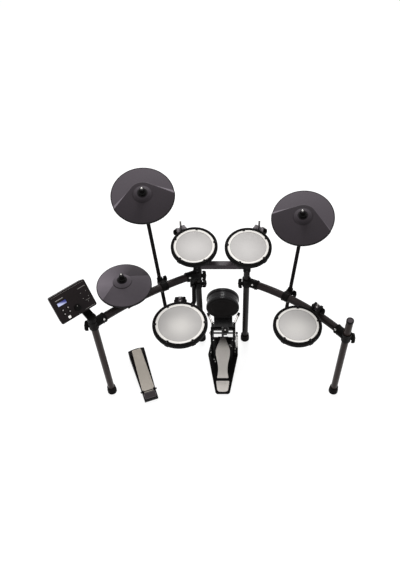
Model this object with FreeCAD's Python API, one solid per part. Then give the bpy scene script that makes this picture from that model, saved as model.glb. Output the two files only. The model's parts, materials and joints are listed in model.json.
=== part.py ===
import FreeCAD, Part
import math
import os

# Electronic drum kit on a folding tube rack, in millimetres.
# The origin lies on the floor in the kit's mid-plane, on the line of the two inner legs.
# +X points to the drummer's right, +Y away from the drummer and +Z up.

V = FreeCAD.Vector
UP = V(0, 0, 1)
RIGHT = V(1, 0, 0)
AWAY = V(0, 1, 0)

# Clearances that every fit shares
running_fit = 0.08
fixed_fit = 0.05
soft_gap = 0.3
overrun = 4.0

# Rack: two inner legs under a crossbar, and two outer legs nearer the drummer
inner_leg_spacing = 254.0
inner_leg_dia = 33.0
outer_leg_spacing = 1218.0
outer_leg_forward = 352.0
outer_leg_dia = 35.0
leg_wall = 2.0
left_leg_above_arm = 48.0
right_leg_above_arm = 128.0
crossbar_top = 660.0
crossbar_size = 30.0
crossbar_wall = 2.0
corner_width = 39.0
corner_depth = 39.0
corner_drop = 21.0
corner_socket = 12.0
foot_dia = 50.0
foot_neck_dia = 42.0
foot_height = 44.0
foot_sole = 8.0
foot_step = 20.0
cap_height = 10.0
cap_wall = 2.5

# Curved side arms, each a bow between an inner leg and an outer leg
arm_dia = 40.0
arm_wall = 2.2
inner_joint_gap = 3.0
left_arm_rise = 42.0
left_arm_bow = 24.0
right_arm_drop = 145.0
right_arm_rise = 2.0
right_arm_bow = 38.0
joint_wall = 6.0
joint_height = 56.0
socket_wall = 4.5
socket_length = 66.0
socket_lug_size = 16.0
socket_lug_drop = 12.0
socket_lug_share = 0.8
boss_dia = 20.0
boss_reach = 5.0
joint_bolt_drop = 14.0
joint_wing_lean = 50.0

# Wing bolts
wing_hub_dia = 15.0
wing_hub_length = 10.0
wing_span = 46.0
wing_thickness = 6.0
wing_height = 10.0
wing_root_share = 0.35

# Rack clamps that hold poles and rods on the arms
clamp_wall = 5.0
clamp_width = 34.0
clamp_height = 42.0
clamp_gap = 10.0
hihat_clamp_gap = 26.0
floor_tom_boss = 8.0
bridge_height = 26.0
crash_clamp_share = 0.32
hihat_clamp_share = 0.65
ride_clamp_share = 0.376
floor_tom_clamp_share = 0.68

# Cymbal poles, their tilters and the nuts on top
pole_dia = 19.0
pole_wall = 2.0
crash_pole_tail = 155.0
ride_pole_tail = 110.0
hihat_pole_tail = 60.0
tilter_drop = 52.0
hihat_tilter_drop = 36.0
tilter_dia = 27.0
tilter_width = 27.0
tilter_neck = 44.0
hihat_tilter_neck = 8.0
tilter_neck_wall = 3.0
stud_dia = 9.0
seat_ball_dia = 18.0
nut_base_dia = 29.0
nut_top_dia = 19.0
nut_gap = 3.2
nut_height = 30.0
nut_flat_share = 0.33
stud_tip = 11.0

# Cymbal pads: a rubber cover over a stiff core, with a raised bell
crash_dia = 302.0
hihat_dia = 268.0
playing_step_out = 2.4
playing_step_up = 1.0
bell_height = 24.0
bell_top_dia = 52.0
bell_foot_dia = 84.0
bell_foot_height = 13.0
edge_height = 3.0
edge_skirt = 3.0
edge_rubber = 6.0
rubber_thickness = 5.0
core_thickness = 4.0
hub_depth = 10.0
core_hub_dia = 48.0
crash_left = 371.6
crash_behind = 102.3
crash_above_arm = 446.7
crash_tilt = 18.6
crash_side_tilt = 3.0
ride_right = 390.4
ride_behind = 48.3
ride_above_arm = 416.0
ride_tilt = 16.0
ride_side_tilt = -7.9
hihat_left = 484.0
hihat_before = 151.0
hihat_above_arm = 63.0
hihat_tilt = 2.0
hihat_side_tilt = 2.0
hihat_shift_right = 10.0
hihat_shift_near = 16.0

# Degrees, anticlockwise from the cymbal's right-hand side, of the playing sector
crash_sector = (206.0, 362.0)
ride_sector = (172.0, 330.0)
hihat_sector = (232.0, 368.0)

# Drum pads: a pan, a hoop and a mesh head
snare_rim_dia = 266.0
tom_rim_dia = 236.0
hoop_lip = 12.5
hoop_height = 19.0
hoop_above_head = 3.6
shell_inset = 4.0
shell_wall_height = 9.0
shell_taper = 38.0
shell_wall = 4.0
snare_depth = 58.0
tom_depth = 52.0
head_thickness = 1.2
head_tuck = 2.0
tab_width = 11.0
tab_reach = 4.0
tab_height = 2.4
lug_width = 20.0
lug_depth = 3.0
lug_height = 8.0
sensor_dia = 44.0
sensor_tip_dia = 16.0
sensor_bar_height = 6.0
snare_tab_count = 6
tom_tab_count = 5
snare_left = 198.0
snare_before = 343.0
snare_below_bar = 49.0
tom_one_clear = 20.6
tom_one_behind = 38.8
tom_one_above_bar = 86.0
tom_two_clear = 13.7
tom_two_behind = 27.8
tom_two_above_bar = 92.0
floor_tom_right = 364.4
floor_tom_before = 343.4
floor_tom_above_arm = 85.0
tom_tilt = 8.0

# Pad holders: two ears on the pan, a pin through them and an eye block on the rod
ear_gap = 23.0
ear_thickness = 12.0
ear_root = 5.0
ear_height = 34.0
ear_drop = 34.0
pin_dia = 8.0
snare_pin_reach = 31.0
tom_pin_reach = 24.0
pin_head = 6.0
pin_head_dia = 16.0
eye_dia = 28.0
rod_dia = 11.0
rod_above_eye = 14.0
tom_rod_above_eye = 58.0
rod_bend = 20.0
snare_holder_angle = 93.0
tom_one_holder_angle = 121.0
tom_two_holder_angle = 66.0

# Rods and their clamps
tom_rod_below_top = 22.0
tom_clamp_size = 32.0
tom_clamp_depth = 30.0
tom_rod_run = 26.0
snare_rod_dia = 17.0
snare_rod_rise = 105.0
snare_rod_start = 14.0
snare_rod_corner_left = 145.0
snare_rod_corner_before = 134.0
snare_collar_height = 40.0
snare_collar_wall = 6.0
snare_rod_gap = 2.0

# Sound module on a bracket at the top of the left outer leg
module_width = 186.0
module_height = 138.0
module_depth = 46.0
module_corner = 8.0
module_taper = 6.0
module_wall = 2.5
module_yaw = 40.7
module_slope = 53.2
module_side = 43.0
module_hinge_up = 43.0
module_hinge_back = 11.0
bracket_reach = 75.0
bracket_rise = 36.0
bracket_collar_wall = 5.0
bracket_collar_height = 18.0
bracket_arm_width = 40.0
bracket_arm_height = 12.0
bracket_arm_drop = 28.0
bracket_ear = 7.0
bracket_pin_dia = 8.0
bracket_barrel_dia = 20.0
bracket_barrel_length = 30.0
display_width = 44.0
display_height = 17.0
display_left = 47.5
display_up = 20.0
display_recess = 1.0
button_dia = 9.0
button_height = 3.2
button_travel = 1.2
button_pitch = 26.0
button_row = 20.0
button_left = 59.0
button_down = 11.0
lit_button_size = 12.0
lit_button_left = 46.5
lit_button_down = 53.5
dial_dia = 30.0
dial_height = 11.0
dial_right = 5.5
dial_down = 35.0
shaft_dia = 6.0
shaft_length = 16.0

# Kick tower
kick_dia = 181.0
kick_waist_dia = 171.0
kick_length = 72.0
kick_hoop = 16.0
kick_face_forward = 17.0
kick_axis_height = 309.0
kick_wall = 4.0
kick_head_dia = 166.0
kick_head_thickness = 12.0
kick_head_crown = 3.0
kick_ring_share = 0.76
column_width = 108.0
column_depth = 40.0
column_top = 335.0
column_wall = 4.0
base_rail_width = 16.0
base_rail_height = 8.0
base_rail_half = 72.0
base_front = 12.0
base_back = 112.0
base_lip = 16.0
strut_dia = 10.0
strut_out = 26.0
strut_back = 72.0
strut_tip_dia = 17.0
strut_tip_length = 22.0

# Kick pedal
pedal_front = 8.0
pedal_heel_back = 374.0
pedal_front_half = 69.0
pedal_wide_half = 86.0
pedal_wide_back = 117.0
pedal_heel_half = 40.0
pedal_plate = 6.0
pedal_edge = 9.0
heel_hinge_back = 293.0
heel_hinge_height = 22.0
heel_plate_half = 36.0
heel_plate_thickness = 4.0
heel_plate_end_half = 28.0
heel_plate_length = 68.0
heel_block_gap = 9.0
hinge_pin_dia = 6.0
board_thickness = 5.0
board_length = 240.0
board_slope = 19.0
board_half_shares = (0.86, 0.68, 1.0, 0.42)
board_place_shares = (0.045, 0.32, 0.66, 1.0)
board_wide_half = 41.0
board_knuckle_dia = 12.0
board_knuckle_half = 29.0
axle_back = 102.0
axle_height = 196.0
axle_dia = 10.0
post_half = 62.0
post_width = 12.0
post_depth = 26.0
post_foot_depth = 44.0
yoke_dia = 13.0
yoke_ahead = 43.0
yoke_drop = 12.0
cam_radius = 30.0
cam_width = 12.0
hub_length = 18.0
hub_dia = 24.0
beater_lean = 29.5
beater_length = 135.0
beater_rod_dia = 7.0
beater_head_dia = 38.0
chain_width = 9.0
chain_link = 9.0
chain_thickness = 4.0
chain_link_gap = 0.5
chain_wrap_count = 4
chain_clip_width = 13.0
chain_clip_depth = 9.0
spring_dia = 14.0
spring_wire = 1.8
spring_turn_count = 18
spring_length = 112.0
spring_side = 78.0
spring_lever = 15.0
spring_lever_thickness = 6.0
spring_foot_size = 14.0
spring_pin_dia = 6.0
pedal_jaw_width = 60.0
pedal_jaw_height = 16.0
pedal_jaw_depth = 16.0

# Hi-hat control pedal
hat_pedal_left = 406.0
hat_pedal_before = 361.0
hat_pedal_turn = 20.3
hat_board_length = 248.0
hat_board_slope = 15.9
hat_board_heel_half = 34.0
hat_board_toe_half = 26.0
hat_board_thickness = 6.0
hat_hinge_height = 18.0
hat_base_thickness = 6.0
hat_base_heel_half = 38.0
hat_base_toe_half = 47.0
hat_cheek_height = 66.0
hat_heel_length = 46.0
hat_heel_height = 24.0
hat_heel_lead = 10.0
hat_pin_dia = 8.0
hat_knuckle_dia = 16.0
hat_toe_extra = 14.0
hat_toe_wall = 3.6
hat_toe_bulge = 7.0
hat_stop_height = 20.0
hat_stop_share = 0.75
hat_knuckle_half = 29.0
hat_gap = 2.0
hat_heel_round = 4.0
hat_stop_dia = 34.0

# Worked-out places
leg_x = inner_leg_spacing / 2
outer_x = outer_leg_spacing / 2
outer_y = -outer_leg_forward
arm_radius = arm_dia / 2
pole_radius = pole_dia / 2
left_arm_inner_height = crossbar_top - crossbar_size - corner_drop - inner_joint_gap - joint_height / 2
left_arm_outer_height = left_arm_inner_height + left_arm_rise
right_arm_inner_height = crossbar_top - right_arm_drop
right_arm_outer_height = right_arm_inner_height + right_arm_rise
left_leg_top = left_arm_outer_height + left_leg_above_arm
right_leg_top = right_arm_outer_height + right_leg_above_arm
tom_rod_height = crossbar_top - tom_rod_below_top
crash_centre = V(-crash_left, crash_behind, left_arm_inner_height + crash_above_arm)
ride_centre = V(ride_right, ride_behind, right_arm_inner_height + ride_above_arm)
hihat_centre = V(-hihat_left, -hihat_before, left_arm_outer_height + hihat_above_arm)
hihat_offset = V(hihat_shift_right, -hihat_shift_near, 0)
snare_centre = V(-snare_left, -snare_before, crossbar_top - snare_below_bar)
tom_one_centre = V(-tom_rim_dia / 2 - tom_one_clear, tom_one_behind, crossbar_top + tom_one_above_bar)
tom_two_centre = V(tom_rim_dia / 2 + tom_two_clear, tom_two_behind, crossbar_top + tom_two_above_bar)
floor_tom_centre = V(floor_tom_right, -floor_tom_before, right_arm_inner_height + floor_tom_above_arm)
display_place = V(-display_left, display_up, 0)
button_first = V(-button_left, -button_down, 0)
lit_button_place = V(-lit_button_left, -lit_button_down, 0)
dial_place = V(dial_right, -dial_down, 0)
hat_pedal_heel = V(-hat_pedal_left, -hat_pedal_before, 0)
nodes = {}


def keep(name, *solids):
    """Store the solids of one node; the node is written at the end."""
    nodes[name] = solids[0] if len(solids) == 1 else Part.makeCompound(solids)


def cylinder(base, direction, radius, length):
    return Part.makeCylinder(radius, length, base, direction)


def pipe(base, direction, outer_radius, wall, length):
    """Hollow straight tube, open at both ends."""
    step = V(direction).normalize() * overrun
    bore = cylinder(base - step, direction, outer_radius - wall, length + 2 * overrun)
    return cylinder(base, direction, outer_radius, length).cut(bore)


def box(centre, size_x, size_y, size_z):
    corner = centre - V(size_x / 2, size_y / 2, size_z / 2)
    return Part.makeBox(size_x, size_y, size_z, corner)


def axes(origin, x_dir, z_dir):
    """Placement whose local x and z axes point along the given directions."""
    z_axis = V(z_dir).normalize()
    y_axis = z_axis.cross(V(x_dir)).normalize()
    x_axis = y_axis.cross(z_axis)
    return FreeCAD.Placement(origin, FreeCAD.Rotation(x_axis, y_axis, z_axis, "ZXY"))


def placed(shape, frame):
    moved = shape.copy()
    moved.Placement = frame.multiply(moved.Placement)
    return moved


def lathe(profile, turn=360.0, start=0.0):
    """Solid turned about local z from (radius, height) corners."""
    corners = [V(r, 0, z) for r, z in profile]
    wire = Part.makePolygon(corners + corners[:1])
    wire.rotate(V(0, 0, 0), UP, start)
    return Part.Face(wire).revolve(V(0, 0, 0), UP, turn)


def prism(outline, height):
    """Upright solid over a flat outline of (x, y) corners."""
    corners = [V(x, y, 0) for x, y in outline]
    wire = Part.makePolygon(corners + corners[:1])
    return Part.Face(wire).extrude(UP * height)


def fused(*solids):
    whole = solids[0].fuse(list(solids[1:])) if len(solids) > 1 else solids[0]
    return whole.removeSplitter()


def bent_rod(points, radius, bend):
    """Round rod along straight runs, with an arc of the given bend at each corner."""
    edges = []
    begin = points[0]
    for before, corner, after in zip(points, points[1:], points[2:]):
        inward = (before - corner).normalize()
        outward = (after - corner).normalize()
        half = inward.getAngle(outward) / 2
        reach = bend / math.tan(half)
        first = corner + inward * reach
        last = corner + outward * reach
        middle_dir = (inward + outward).normalize()
        middle = corner + middle_dir * (bend / math.sin(half) - bend)
        edges.append(Part.makeLine(begin, first))
        edges.append(Part.Arc(first, middle, last).toShape())
        begin = last
    edges.append(Part.makeLine(begin, points[-1]))
    path = Part.Wire(edges)
    ring = Part.Wire(Part.makeCircle(radius, points[0], points[1] - points[0]))
    return path.makePipeShell([ring], True, False)


class Arm:
    """Bowed arm between two points at leg axes, bulging away from the drummer."""

    def __init__(self, start, end, bow):
        self.along = (end - start).normalize()
        side = self.along.cross(UP).normalize()
        self.out = side if side.y > 0 else side * -1
        chord = (end - start).Length
        self.radius = (chord * chord / 4 + bow * bow) / (2 * bow)
        self.centre = (start + end) * 0.5 + self.out * (bow - self.radius)
        self.axis = self.out.cross(self.along)
        self.angle = 2 * math.asin(chord / 2 / self.radius)
        self.length = self.angle * self.radius

    def swing(self, share):
        return (share - 0.5) * self.angle

    def outward(self, share):
        turn = self.swing(share)
        return self.out * math.cos(turn) + self.along * math.sin(turn)

    def tangent(self, share):
        turn = self.swing(share)
        return self.along * math.cos(turn) - self.out * math.sin(turn)

    def point(self, share):
        return self.centre + self.outward(share) * self.radius

    def rod(self, begin, end, radius):
        """Solid bowed rod between two shares of the arm's length."""
        ring = Part.Wire(Part.makeCircle(radius, self.point(begin), self.tangent(begin)))
        turn = math.degrees((end - begin) * self.angle)
        return Part.Face(ring).revolve(self.centre, self.axis, turn)

    def share(self, distance):
        return distance / self.length


left_arm = Arm(V(-leg_x, 0, left_arm_inner_height), V(-outer_x, outer_y, left_arm_outer_height), left_arm_bow)
right_arm = Arm(V(leg_x, 0, right_arm_inner_height), V(outer_x, outer_y, right_arm_outer_height),
                right_arm_bow)


def wing_bolt(seat, direction, wing_dir):
    """Hub with two flat wings, its flat end on the seat."""
    hub = cylinder(seat, direction, wing_hub_dia / 2, wing_hub_length)
    half = wing_span / 2
    root = wing_hub_length * wing_root_share
    tip = root + wing_height
    outline = [(-half, root), (half, root), (half, tip), (half - wing_height, tip),
               (wing_hub_dia / 2, wing_hub_length), (-wing_hub_dia / 2, wing_hub_length),
               (wing_height - half, tip), (-half, tip)]
    plate = prism(outline, wing_thickness)
    plate.translate(V(0, 0, -wing_thickness / 2))
    frame = axes(seat, wing_dir, V(wing_dir).cross(V(direction)))
    return fused(hub, placed(plate, frame))


def leg_foot(x, y, leg_dia):
    """Flared rubber foot around the lower end of a leg."""
    profile = [(0, 0), (foot_dia / 2, 0), (foot_dia / 2, foot_step), (foot_neck_dia / 2, foot_height),
               (leg_dia / 2 + fixed_fit, foot_height), (leg_dia / 2 + fixed_fit, foot_sole), (0, foot_sole)]
    return lathe(profile).translated(V(x, y, 0))


def leg_tube(x, y, leg_dia, top):
    return pipe(V(x, y, foot_sole), UP, leg_dia / 2, leg_wall, top - foot_sole)


def build_rack_front():
    """Inner legs, their feet, the crossbar and the corners that join them."""
    bar_bottom = crossbar_top - crossbar_size
    leg_end = bar_bottom
    corners = []
    for side in (-1, 1):
        middle = V(side * leg_x, 0, crossbar_top - (crossbar_size + corner_drop) / 2)
        body = box(middle, corner_width, corner_depth, crossbar_size + corner_drop)
        body = body.makeFillet(joint_wall, body.Edges)
        bore = cylinder(V(side * leg_x, 0, 0), UP, inner_leg_dia / 2 + fixed_fit, leg_end)
        bar_space = crossbar_size + 2 * fixed_fit
        inner_face = side * (leg_x - corner_width / 2)
        bar_middle = V(inner_face, 0, crossbar_top - crossbar_size / 2)
        socket = box(bar_middle, 2 * corner_socket, bar_space, bar_space)
        corners.append(body.cut(bore).cut(socket))
    keep("crossbar_corners", *corners)
    span = inner_leg_spacing - corner_width + 2 * corner_socket
    outer = box(V(0, 0, crossbar_top - crossbar_size / 2), span, crossbar_size, crossbar_size)
    hollow = crossbar_size - 2 * crossbar_wall
    inner = box(V(0, 0, crossbar_top - crossbar_size / 2), span + overrun, hollow, hollow)
    keep("crossbar", outer.cut(inner))
    keep("inner_legs", *[leg_tube(s * leg_x, 0, inner_leg_dia, leg_end) for s in (-1, 1)])
    keep("inner_leg_feet", *[leg_foot(s * leg_x, 0, inner_leg_dia) for s in (-1, 1)])


def arm_joint(arm, at_end, x, y, leg_dia, fit, boss_dir):
    """Tee joint: a sleeve on the leg and a socket for the arm, with a boss for its bolt."""
    z = arm.point(1 if at_end else 0).z
    sleeve_radius = leg_dia / 2 + joint_wall
    sleeve = cylinder(V(x, y, z - joint_height / 2), UP, sleeve_radius, joint_height)
    reach = arm.share(socket_length)
    start = arm.share(sleeve_radius)
    socket_ends = (1 - reach, 1) if at_end else (0, reach)
    bore_ends = (1 - 2 * reach, 1 - start) if at_end else (start, 2 * reach)
    socket = arm.rod(*socket_ends, arm_radius + socket_wall)
    lug_reach = reach * socket_lug_share
    lug_share = 1 - lug_reach if at_end else lug_reach
    lug_seat = arm.point(lug_share) - UP * (arm_radius + socket_lug_drop / 2)
    lug = box(lug_seat, socket_lug_size, socket_lug_size, socket_lug_drop)
    boss = cylinder(V(x, y, z - joint_bolt_drop), boss_dir, boss_dia / 2, sleeve_radius + boss_reach)
    body = fused(sleeve, socket, lug, boss)
    leg_space = cylinder(V(x, y, 0), UP, leg_dia / 2 + fit, crossbar_top + left_leg_top)
    return body.cut(leg_space).cut(arm.rod(*bore_ends, arm_radius + fixed_fit))


def arm_tube(arm, inner_dia, outer_dia):
    begin = arm.share(inner_dia / 2 + joint_wall + fixed_fit)
    end = 1 - arm.share(outer_dia / 2 + joint_wall + fixed_fit)
    solid = arm.rod(begin, end, arm_radius)
    extra = arm.share(overrun)
    return solid.cut(arm.rod(begin - extra, end + extra, arm_radius - arm_wall))


def joint_bolt(arm, at_end, x, y, leg_dia, boss_dir):
    z = arm.point(1 if at_end else 0).z - joint_bolt_drop
    reach = leg_dia / 2 + joint_wall + boss_reach
    lean = math.radians(joint_wing_lean)
    wing_dir = UP * math.cos(lean) + AWAY * math.sin(lean)
    return wing_bolt(V(x, y, z) + boss_dir * reach, boss_dir, wing_dir)


def rack_clamp(arm, share, point, direction, radius):
    """Collar round the arm joined by a bridge to a grip round a pole or rod."""
    half = arm.share(clamp_width / 2)
    collar = arm.rod(share - half, share + half, arm_radius + clamp_wall)
    grip_base = point - direction * (clamp_height / 2)
    grip = cylinder(grip_base, direction, radius + clamp_wall, clamp_height)
    middle = arm.point(share)
    across = point - middle
    frame = axes(middle, arm.tangent(share), UP)
    bridge_corner = V(-clamp_width / 2, 0, -bridge_height / 2)
    bridge = Part.makeBox(clamp_width, across.Length, bridge_height, bridge_corner)
    side = V(across.x, across.y, 0).normalize()
    if frame.Rotation.multVec(AWAY).dot(side) < 0:
        bridge.translate(V(0, -across.Length, 0))
    body = fused(collar, grip, placed(bridge, frame))
    wide = half + arm.share(overrun)
    body = body.cut(arm.rod(share - wide, share + wide, arm_radius + fixed_fit))
    hole_base = point - direction * (clamp_height + overrun)
    return body.cut(cylinder(hole_base, direction, radius + running_fit, 2 * (clamp_height + overrun)))


class CymbalStand:
    """Pole in a rack clamp, with a tilter, a stud and a cymbal on top."""

    def __init__(self, arm, share, centre, tilt, side_tilt, drop, tail, neck, gap):
        turn = FreeCAD.Rotation(RIGHT, tilt).multiply(FreeCAD.Rotation(AWAY, side_tilt))
        self.normal = turn.multVec(UP)
        self.centre = centre
        self.top = centre - self.normal * drop
        self.arm = arm
        self.share = share
        self.tail = tail
        self.neck = neck
        reach = arm_radius + gap + pole_radius
        self.clamp = arm.point(share) + arm.outward(share) * reach
        self.dir = (self.top - self.clamp).normalize()
        self.frame = axes(centre, RIGHT, self.normal)
        self.seat = centre + self.normal * (bell_height - rubber_thickness - core_thickness)

    def clamp_body(self):
        return rack_clamp(self.arm, self.share, self.clamp, self.dir, pole_radius)

    def pole(self):
        start = self.clamp - self.dir * self.tail
        end = self.top - self.dir * (tilter_dia / 2)
        tube = pipe(start, self.dir, pole_radius, pole_wall, (end - start).Length)
        return tube, self.tilter(end), self.nut()

    def tilter(self, end):
        """Neck over the pole's end, a drum to tilt on, and the stud with its ball seat."""
        across = self.dir.cross(self.normal).normalize()
        drum = cylinder(self.top - across * (tilter_width / 2), across, tilter_dia / 2, tilter_width)
        neck_base = end - self.dir * self.neck
        neck = cylinder(neck_base, self.dir, pole_radius + tilter_neck_wall, self.neck + tilter_dia / 2)
        stud_top = self.seat + self.normal * (seat_ball_dia / 2 + nut_gap + nut_height + stud_tip)
        stud = cylinder(self.top, self.normal, stud_dia / 2, (stud_top - self.top).Length)
        ball = Part.makeSphere(seat_ball_dia / 2, self.seat)
        body = fused(drum, neck, stud, ball)
        bore_base = neck_base - self.dir * overrun
        bore_length = self.neck + overrun + fixed_fit
        return body.cut(cylinder(bore_base, self.dir, pole_radius + fixed_fit, bore_length))

    def nut(self):
        bore = stud_dia / 2 + fixed_fit
        base = self.seat + self.normal * (seat_ball_dia / 2 + nut_gap)
        profile = [(bore, 0), (nut_base_dia / 2, 0), (nut_base_dia / 2, nut_height * nut_flat_share),
                   (nut_top_dia / 2, nut_height), (bore, nut_height)]
        return placed(lathe(profile), axes(base, RIGHT, self.normal))

    def cymbal(self, diameter, sector):
        """Rubber cover and stiff core, the playing sector a step wider and higher."""
        hole = seat_ball_dia / 2 + soft_gap
        core = self.core_profile(diameter / 2, hole)
        begin, end = sector
        plain = lathe(self.rubber_profile(diameter / 2, hole, 0), 360 - (end - begin), end)
        play_profile = self.rubber_profile(diameter / 2 + playing_step_out, hole, playing_step_up)
        play = lathe(play_profile, end - begin, begin)
        cover = fused(plain, play)
        return placed(lathe(core), self.frame), placed(cover, self.frame)

    def offset_cymbal(self, diameter, sector, offset):
        """Cymbal whose round edge is centred to one side of its bell."""
        spare = offset.Length + playing_step_out
        reach = diameter + 2 * spare
        hole = seat_ball_dia / 2 + soft_gap
        begin, end = sector
        plain = lathe(self.plate_profile(reach / 2, hole, 0), 360 - (end - begin), end)
        play = lathe(self.plate_profile(reach / 2, hole, playing_step_up), end - begin, begin)
        low = offset - UP * bell_foot_dia
        rim = cylinder(low, UP, diameter / 2, 2 * bell_foot_dia)
        inner_rim = cylinder(low, UP, diameter / 2 - edge_rubber, 2 * bell_foot_dia)
        core = lathe(self.core_profile(reach / 2, hole)).common(inner_rim)
        cover = fused(plain, play).common(rim)
        return placed(core, self.frame), placed(cover, self.frame)

    def plate_profile(self, radius, hole, lift):
        """Cover without a skirt, for a disc that is trimmed afterwards."""
        under = self.under_line(radius)
        return [(hole + rubber_thickness, bell_height), (bell_top_dia / 2, bell_height),
                (bell_foot_dia / 2, bell_foot_height), (bell_foot_dia / 2 + lift, bell_foot_height + lift),
                (under[2][0], edge_height + lift), under[2], under[1], under[0],
                (hole + rubber_thickness, bell_height - rubber_thickness)]

    def under_line(self, radius):
        """Heights of the line where the core meets the cover, hub to edge."""
        return [(bell_top_dia / 2, bell_height - rubber_thickness),
                (bell_foot_dia / 2, bell_foot_height - rubber_thickness),
                (radius - edge_rubber, edge_height - rubber_thickness)]

    def rubber_profile(self, radius, hole, lift):
        under = self.under_line(crash_dia / 2)
        return [(hole + rubber_thickness, bell_height), (bell_top_dia / 2, bell_height),
                (bell_foot_dia / 2, bell_foot_height), (bell_foot_dia / 2 + lift, bell_foot_height + lift),
                (radius, edge_height + lift), (radius, -edge_skirt), (under[2][0], -edge_skirt),
                under[2], under[1], under[0], (hole + rubber_thickness, bell_height - rubber_thickness)]

    def core_profile(self, radius, hole):
        top = self.under_line(radius)
        below = [(r, z - core_thickness) for r, z in reversed(top[1:])]
        hub_floor = bell_height - rubber_thickness - hub_depth
        return [(hole, top[0][1])] + top + below + [(core_hub_dia / 2, hub_floor), (hole, hub_floor)]


class Pad:
    """Round drum pad with a holder on its rim; local z is the head's normal."""

    def __init__(self, centre, tilt, rim_dia, depth, tabs, holder_angle, pin_reach):
        self.centre = centre
        self.frame = axes(centre, RIGHT, FreeCAD.Rotation(RIGHT, tilt).multVec(UP))
        self.rim = rim_dia / 2
        self.depth = depth
        self.tabs = tabs
        self.angle = holder_angle
        self.head_radius = self.rim - hoop_lip
        self.top_radius = self.head_radius + head_tuck + soft_gap
        self.pin_radius = self.rim + pin_reach
        out = V(math.cos(math.radians(holder_angle)), math.sin(math.radians(holder_angle)), 0)
        self.out = out
        self.pin_point = self.frame.multVec(out * self.pin_radius - UP * ear_drop)
        self.pin_dir = self.frame.Rotation.multVec(V(-out.y, out.x, 0))

    def around(self, shape, count, turn):
        copies = []
        for index in range(count):
            copy = shape.copy()
            copy.rotate(V(0, 0, 0), UP, turn + index * 360 / count)
            copies.append(copy)
        return copies

    def head(self):
        disc = cylinder(V(0, 0, -head_thickness), UP, self.head_radius + head_tuck, head_thickness)
        return placed(disc, self.frame)

    def hoop(self):
        """Rubber-covered hoop: a ring with a lip over the head and small hold-down tabs."""
        low = hoop_above_head - hoop_height
        inner = self.top_radius + soft_gap
        profile = [(self.rim, low), (self.rim, hoop_above_head), (self.head_radius, hoop_above_head),
                   (self.head_radius, soft_gap), (inner, soft_gap), (inner, low)]
        tab = box(V(self.head_radius, 0, soft_gap + tab_height / 2), 2 * tab_reach, tab_width, tab_height)
        tabs = self.around(tab, self.tabs, self.angle + 180 / self.tabs)
        return placed(fused(lathe(profile), *tabs), self.frame)

    def shell(self):
        """Pan with lugs, a sensor bar under the head and the two ears of the holder."""
        step = hoop_above_head - hoop_height - soft_gap
        wide = self.rim - shell_inset
        edge = -head_thickness
        floor = -self.depth
        inner = self.top_radius - shell_wall
        low = step - shell_wall_height
        profile = [(0, floor), (wide - shell_taper, floor), (wide, low), (wide, step),
                   (self.top_radius, step), (self.top_radius, edge), (inner, edge),
                   (inner, low), (inner - shell_taper, floor + shell_wall), (0, floor + shell_wall)]
        lug_middle = V(wide + lug_depth / 2 - shell_wall / 2, 0, step - lug_height / 2)
        lug = box(lug_middle, lug_depth + shell_wall, lug_width, lug_height)
        lugs = self.around(lug, self.tabs, self.angle + 180 / self.tabs)
        pan = fused(lathe(profile), *lugs, *self.ears(wide), self.pin())
        return placed(pan, self.frame)

    def ears(self, wide):
        """Two upright plates beside the rod, standing out from the pan."""
        plates = []
        begin = wide - shell_wall
        length = self.pin_radius + eye_dia / 2 - begin
        for side in (-1, 1):
            offset = side * (ear_gap + ear_thickness) / 2
            plate = box(V(begin + length / 2, offset, -ear_drop), length, ear_thickness, ear_height)
            plate.rotate(V(0, 0, 0), UP, self.angle)
            plates.append(plate)
        root_length = shell_taper + ear_root
        root_middle = V(wide + ear_root - root_length / 2, 0, -ear_drop)
        root = box(root_middle, root_length, ear_gap + 2 * ear_thickness, ear_height)
        root.rotate(V(0, 0, 0), UP, self.angle)
        return plates + [root.cut(self.hollow())]

    def hollow(self):
        """Space inside the pan, which the holder's root stops at."""
        step = hoop_above_head - hoop_height - soft_gap
        inner = self.top_radius - shell_wall
        floor = shell_wall - self.depth
        return lathe([(0, floor), (inner - shell_taper, floor), (inner, step - shell_wall_height),
                      (inner, 0), (0, 0)])

    def pin(self):
        span = ear_gap + 2 * ear_thickness + 2 * pin_head
        pin = cylinder(V(self.pin_radius, -span / 2, -ear_drop), AWAY, pin_dia / 2, span)
        heads = []
        for begin in (-span / 2, span / 2 - pin_head):
            heads.append(cylinder(V(self.pin_radius, begin, -ear_drop), AWAY, pin_head_dia / 2, pin_head))
        whole = fused(pin, *heads)
        whole.rotate(V(0, 0, 0), UP, self.angle)
        return whole

    def sensor(self):
        """Foam cone on a bar that spans the pan under the head."""
        floor = -self.depth + shell_wall
        top = -head_thickness - soft_gap
        bar = cylinder(V(0, 0, floor), UP, sensor_dia / 2, sensor_bar_height)
        cone = Part.makeCone(sensor_dia / 2, sensor_tip_dia / 2, top - floor - sensor_bar_height,
                             V(0, 0, floor + sensor_bar_height))
        return placed(fused(bar, cone), self.frame)

    def rod_top(self, above_eye):
        return self.pin_point + UP * (eye_dia / 2 + above_eye)

    def eye(self, rod):
        """Rod with the eye block that turns on the holder's pin."""
        length = ear_gap - 2 * soft_gap
        block = cylinder(self.pin_point - self.pin_dir * (length / 2), self.pin_dir, eye_dia / 2, length)
        bore_base = self.pin_point - self.pin_dir * length
        bore = cylinder(bore_base, self.pin_dir, pin_dia / 2 + running_fit, 2 * length)
        return fused(rod, block).cut(bore)


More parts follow.
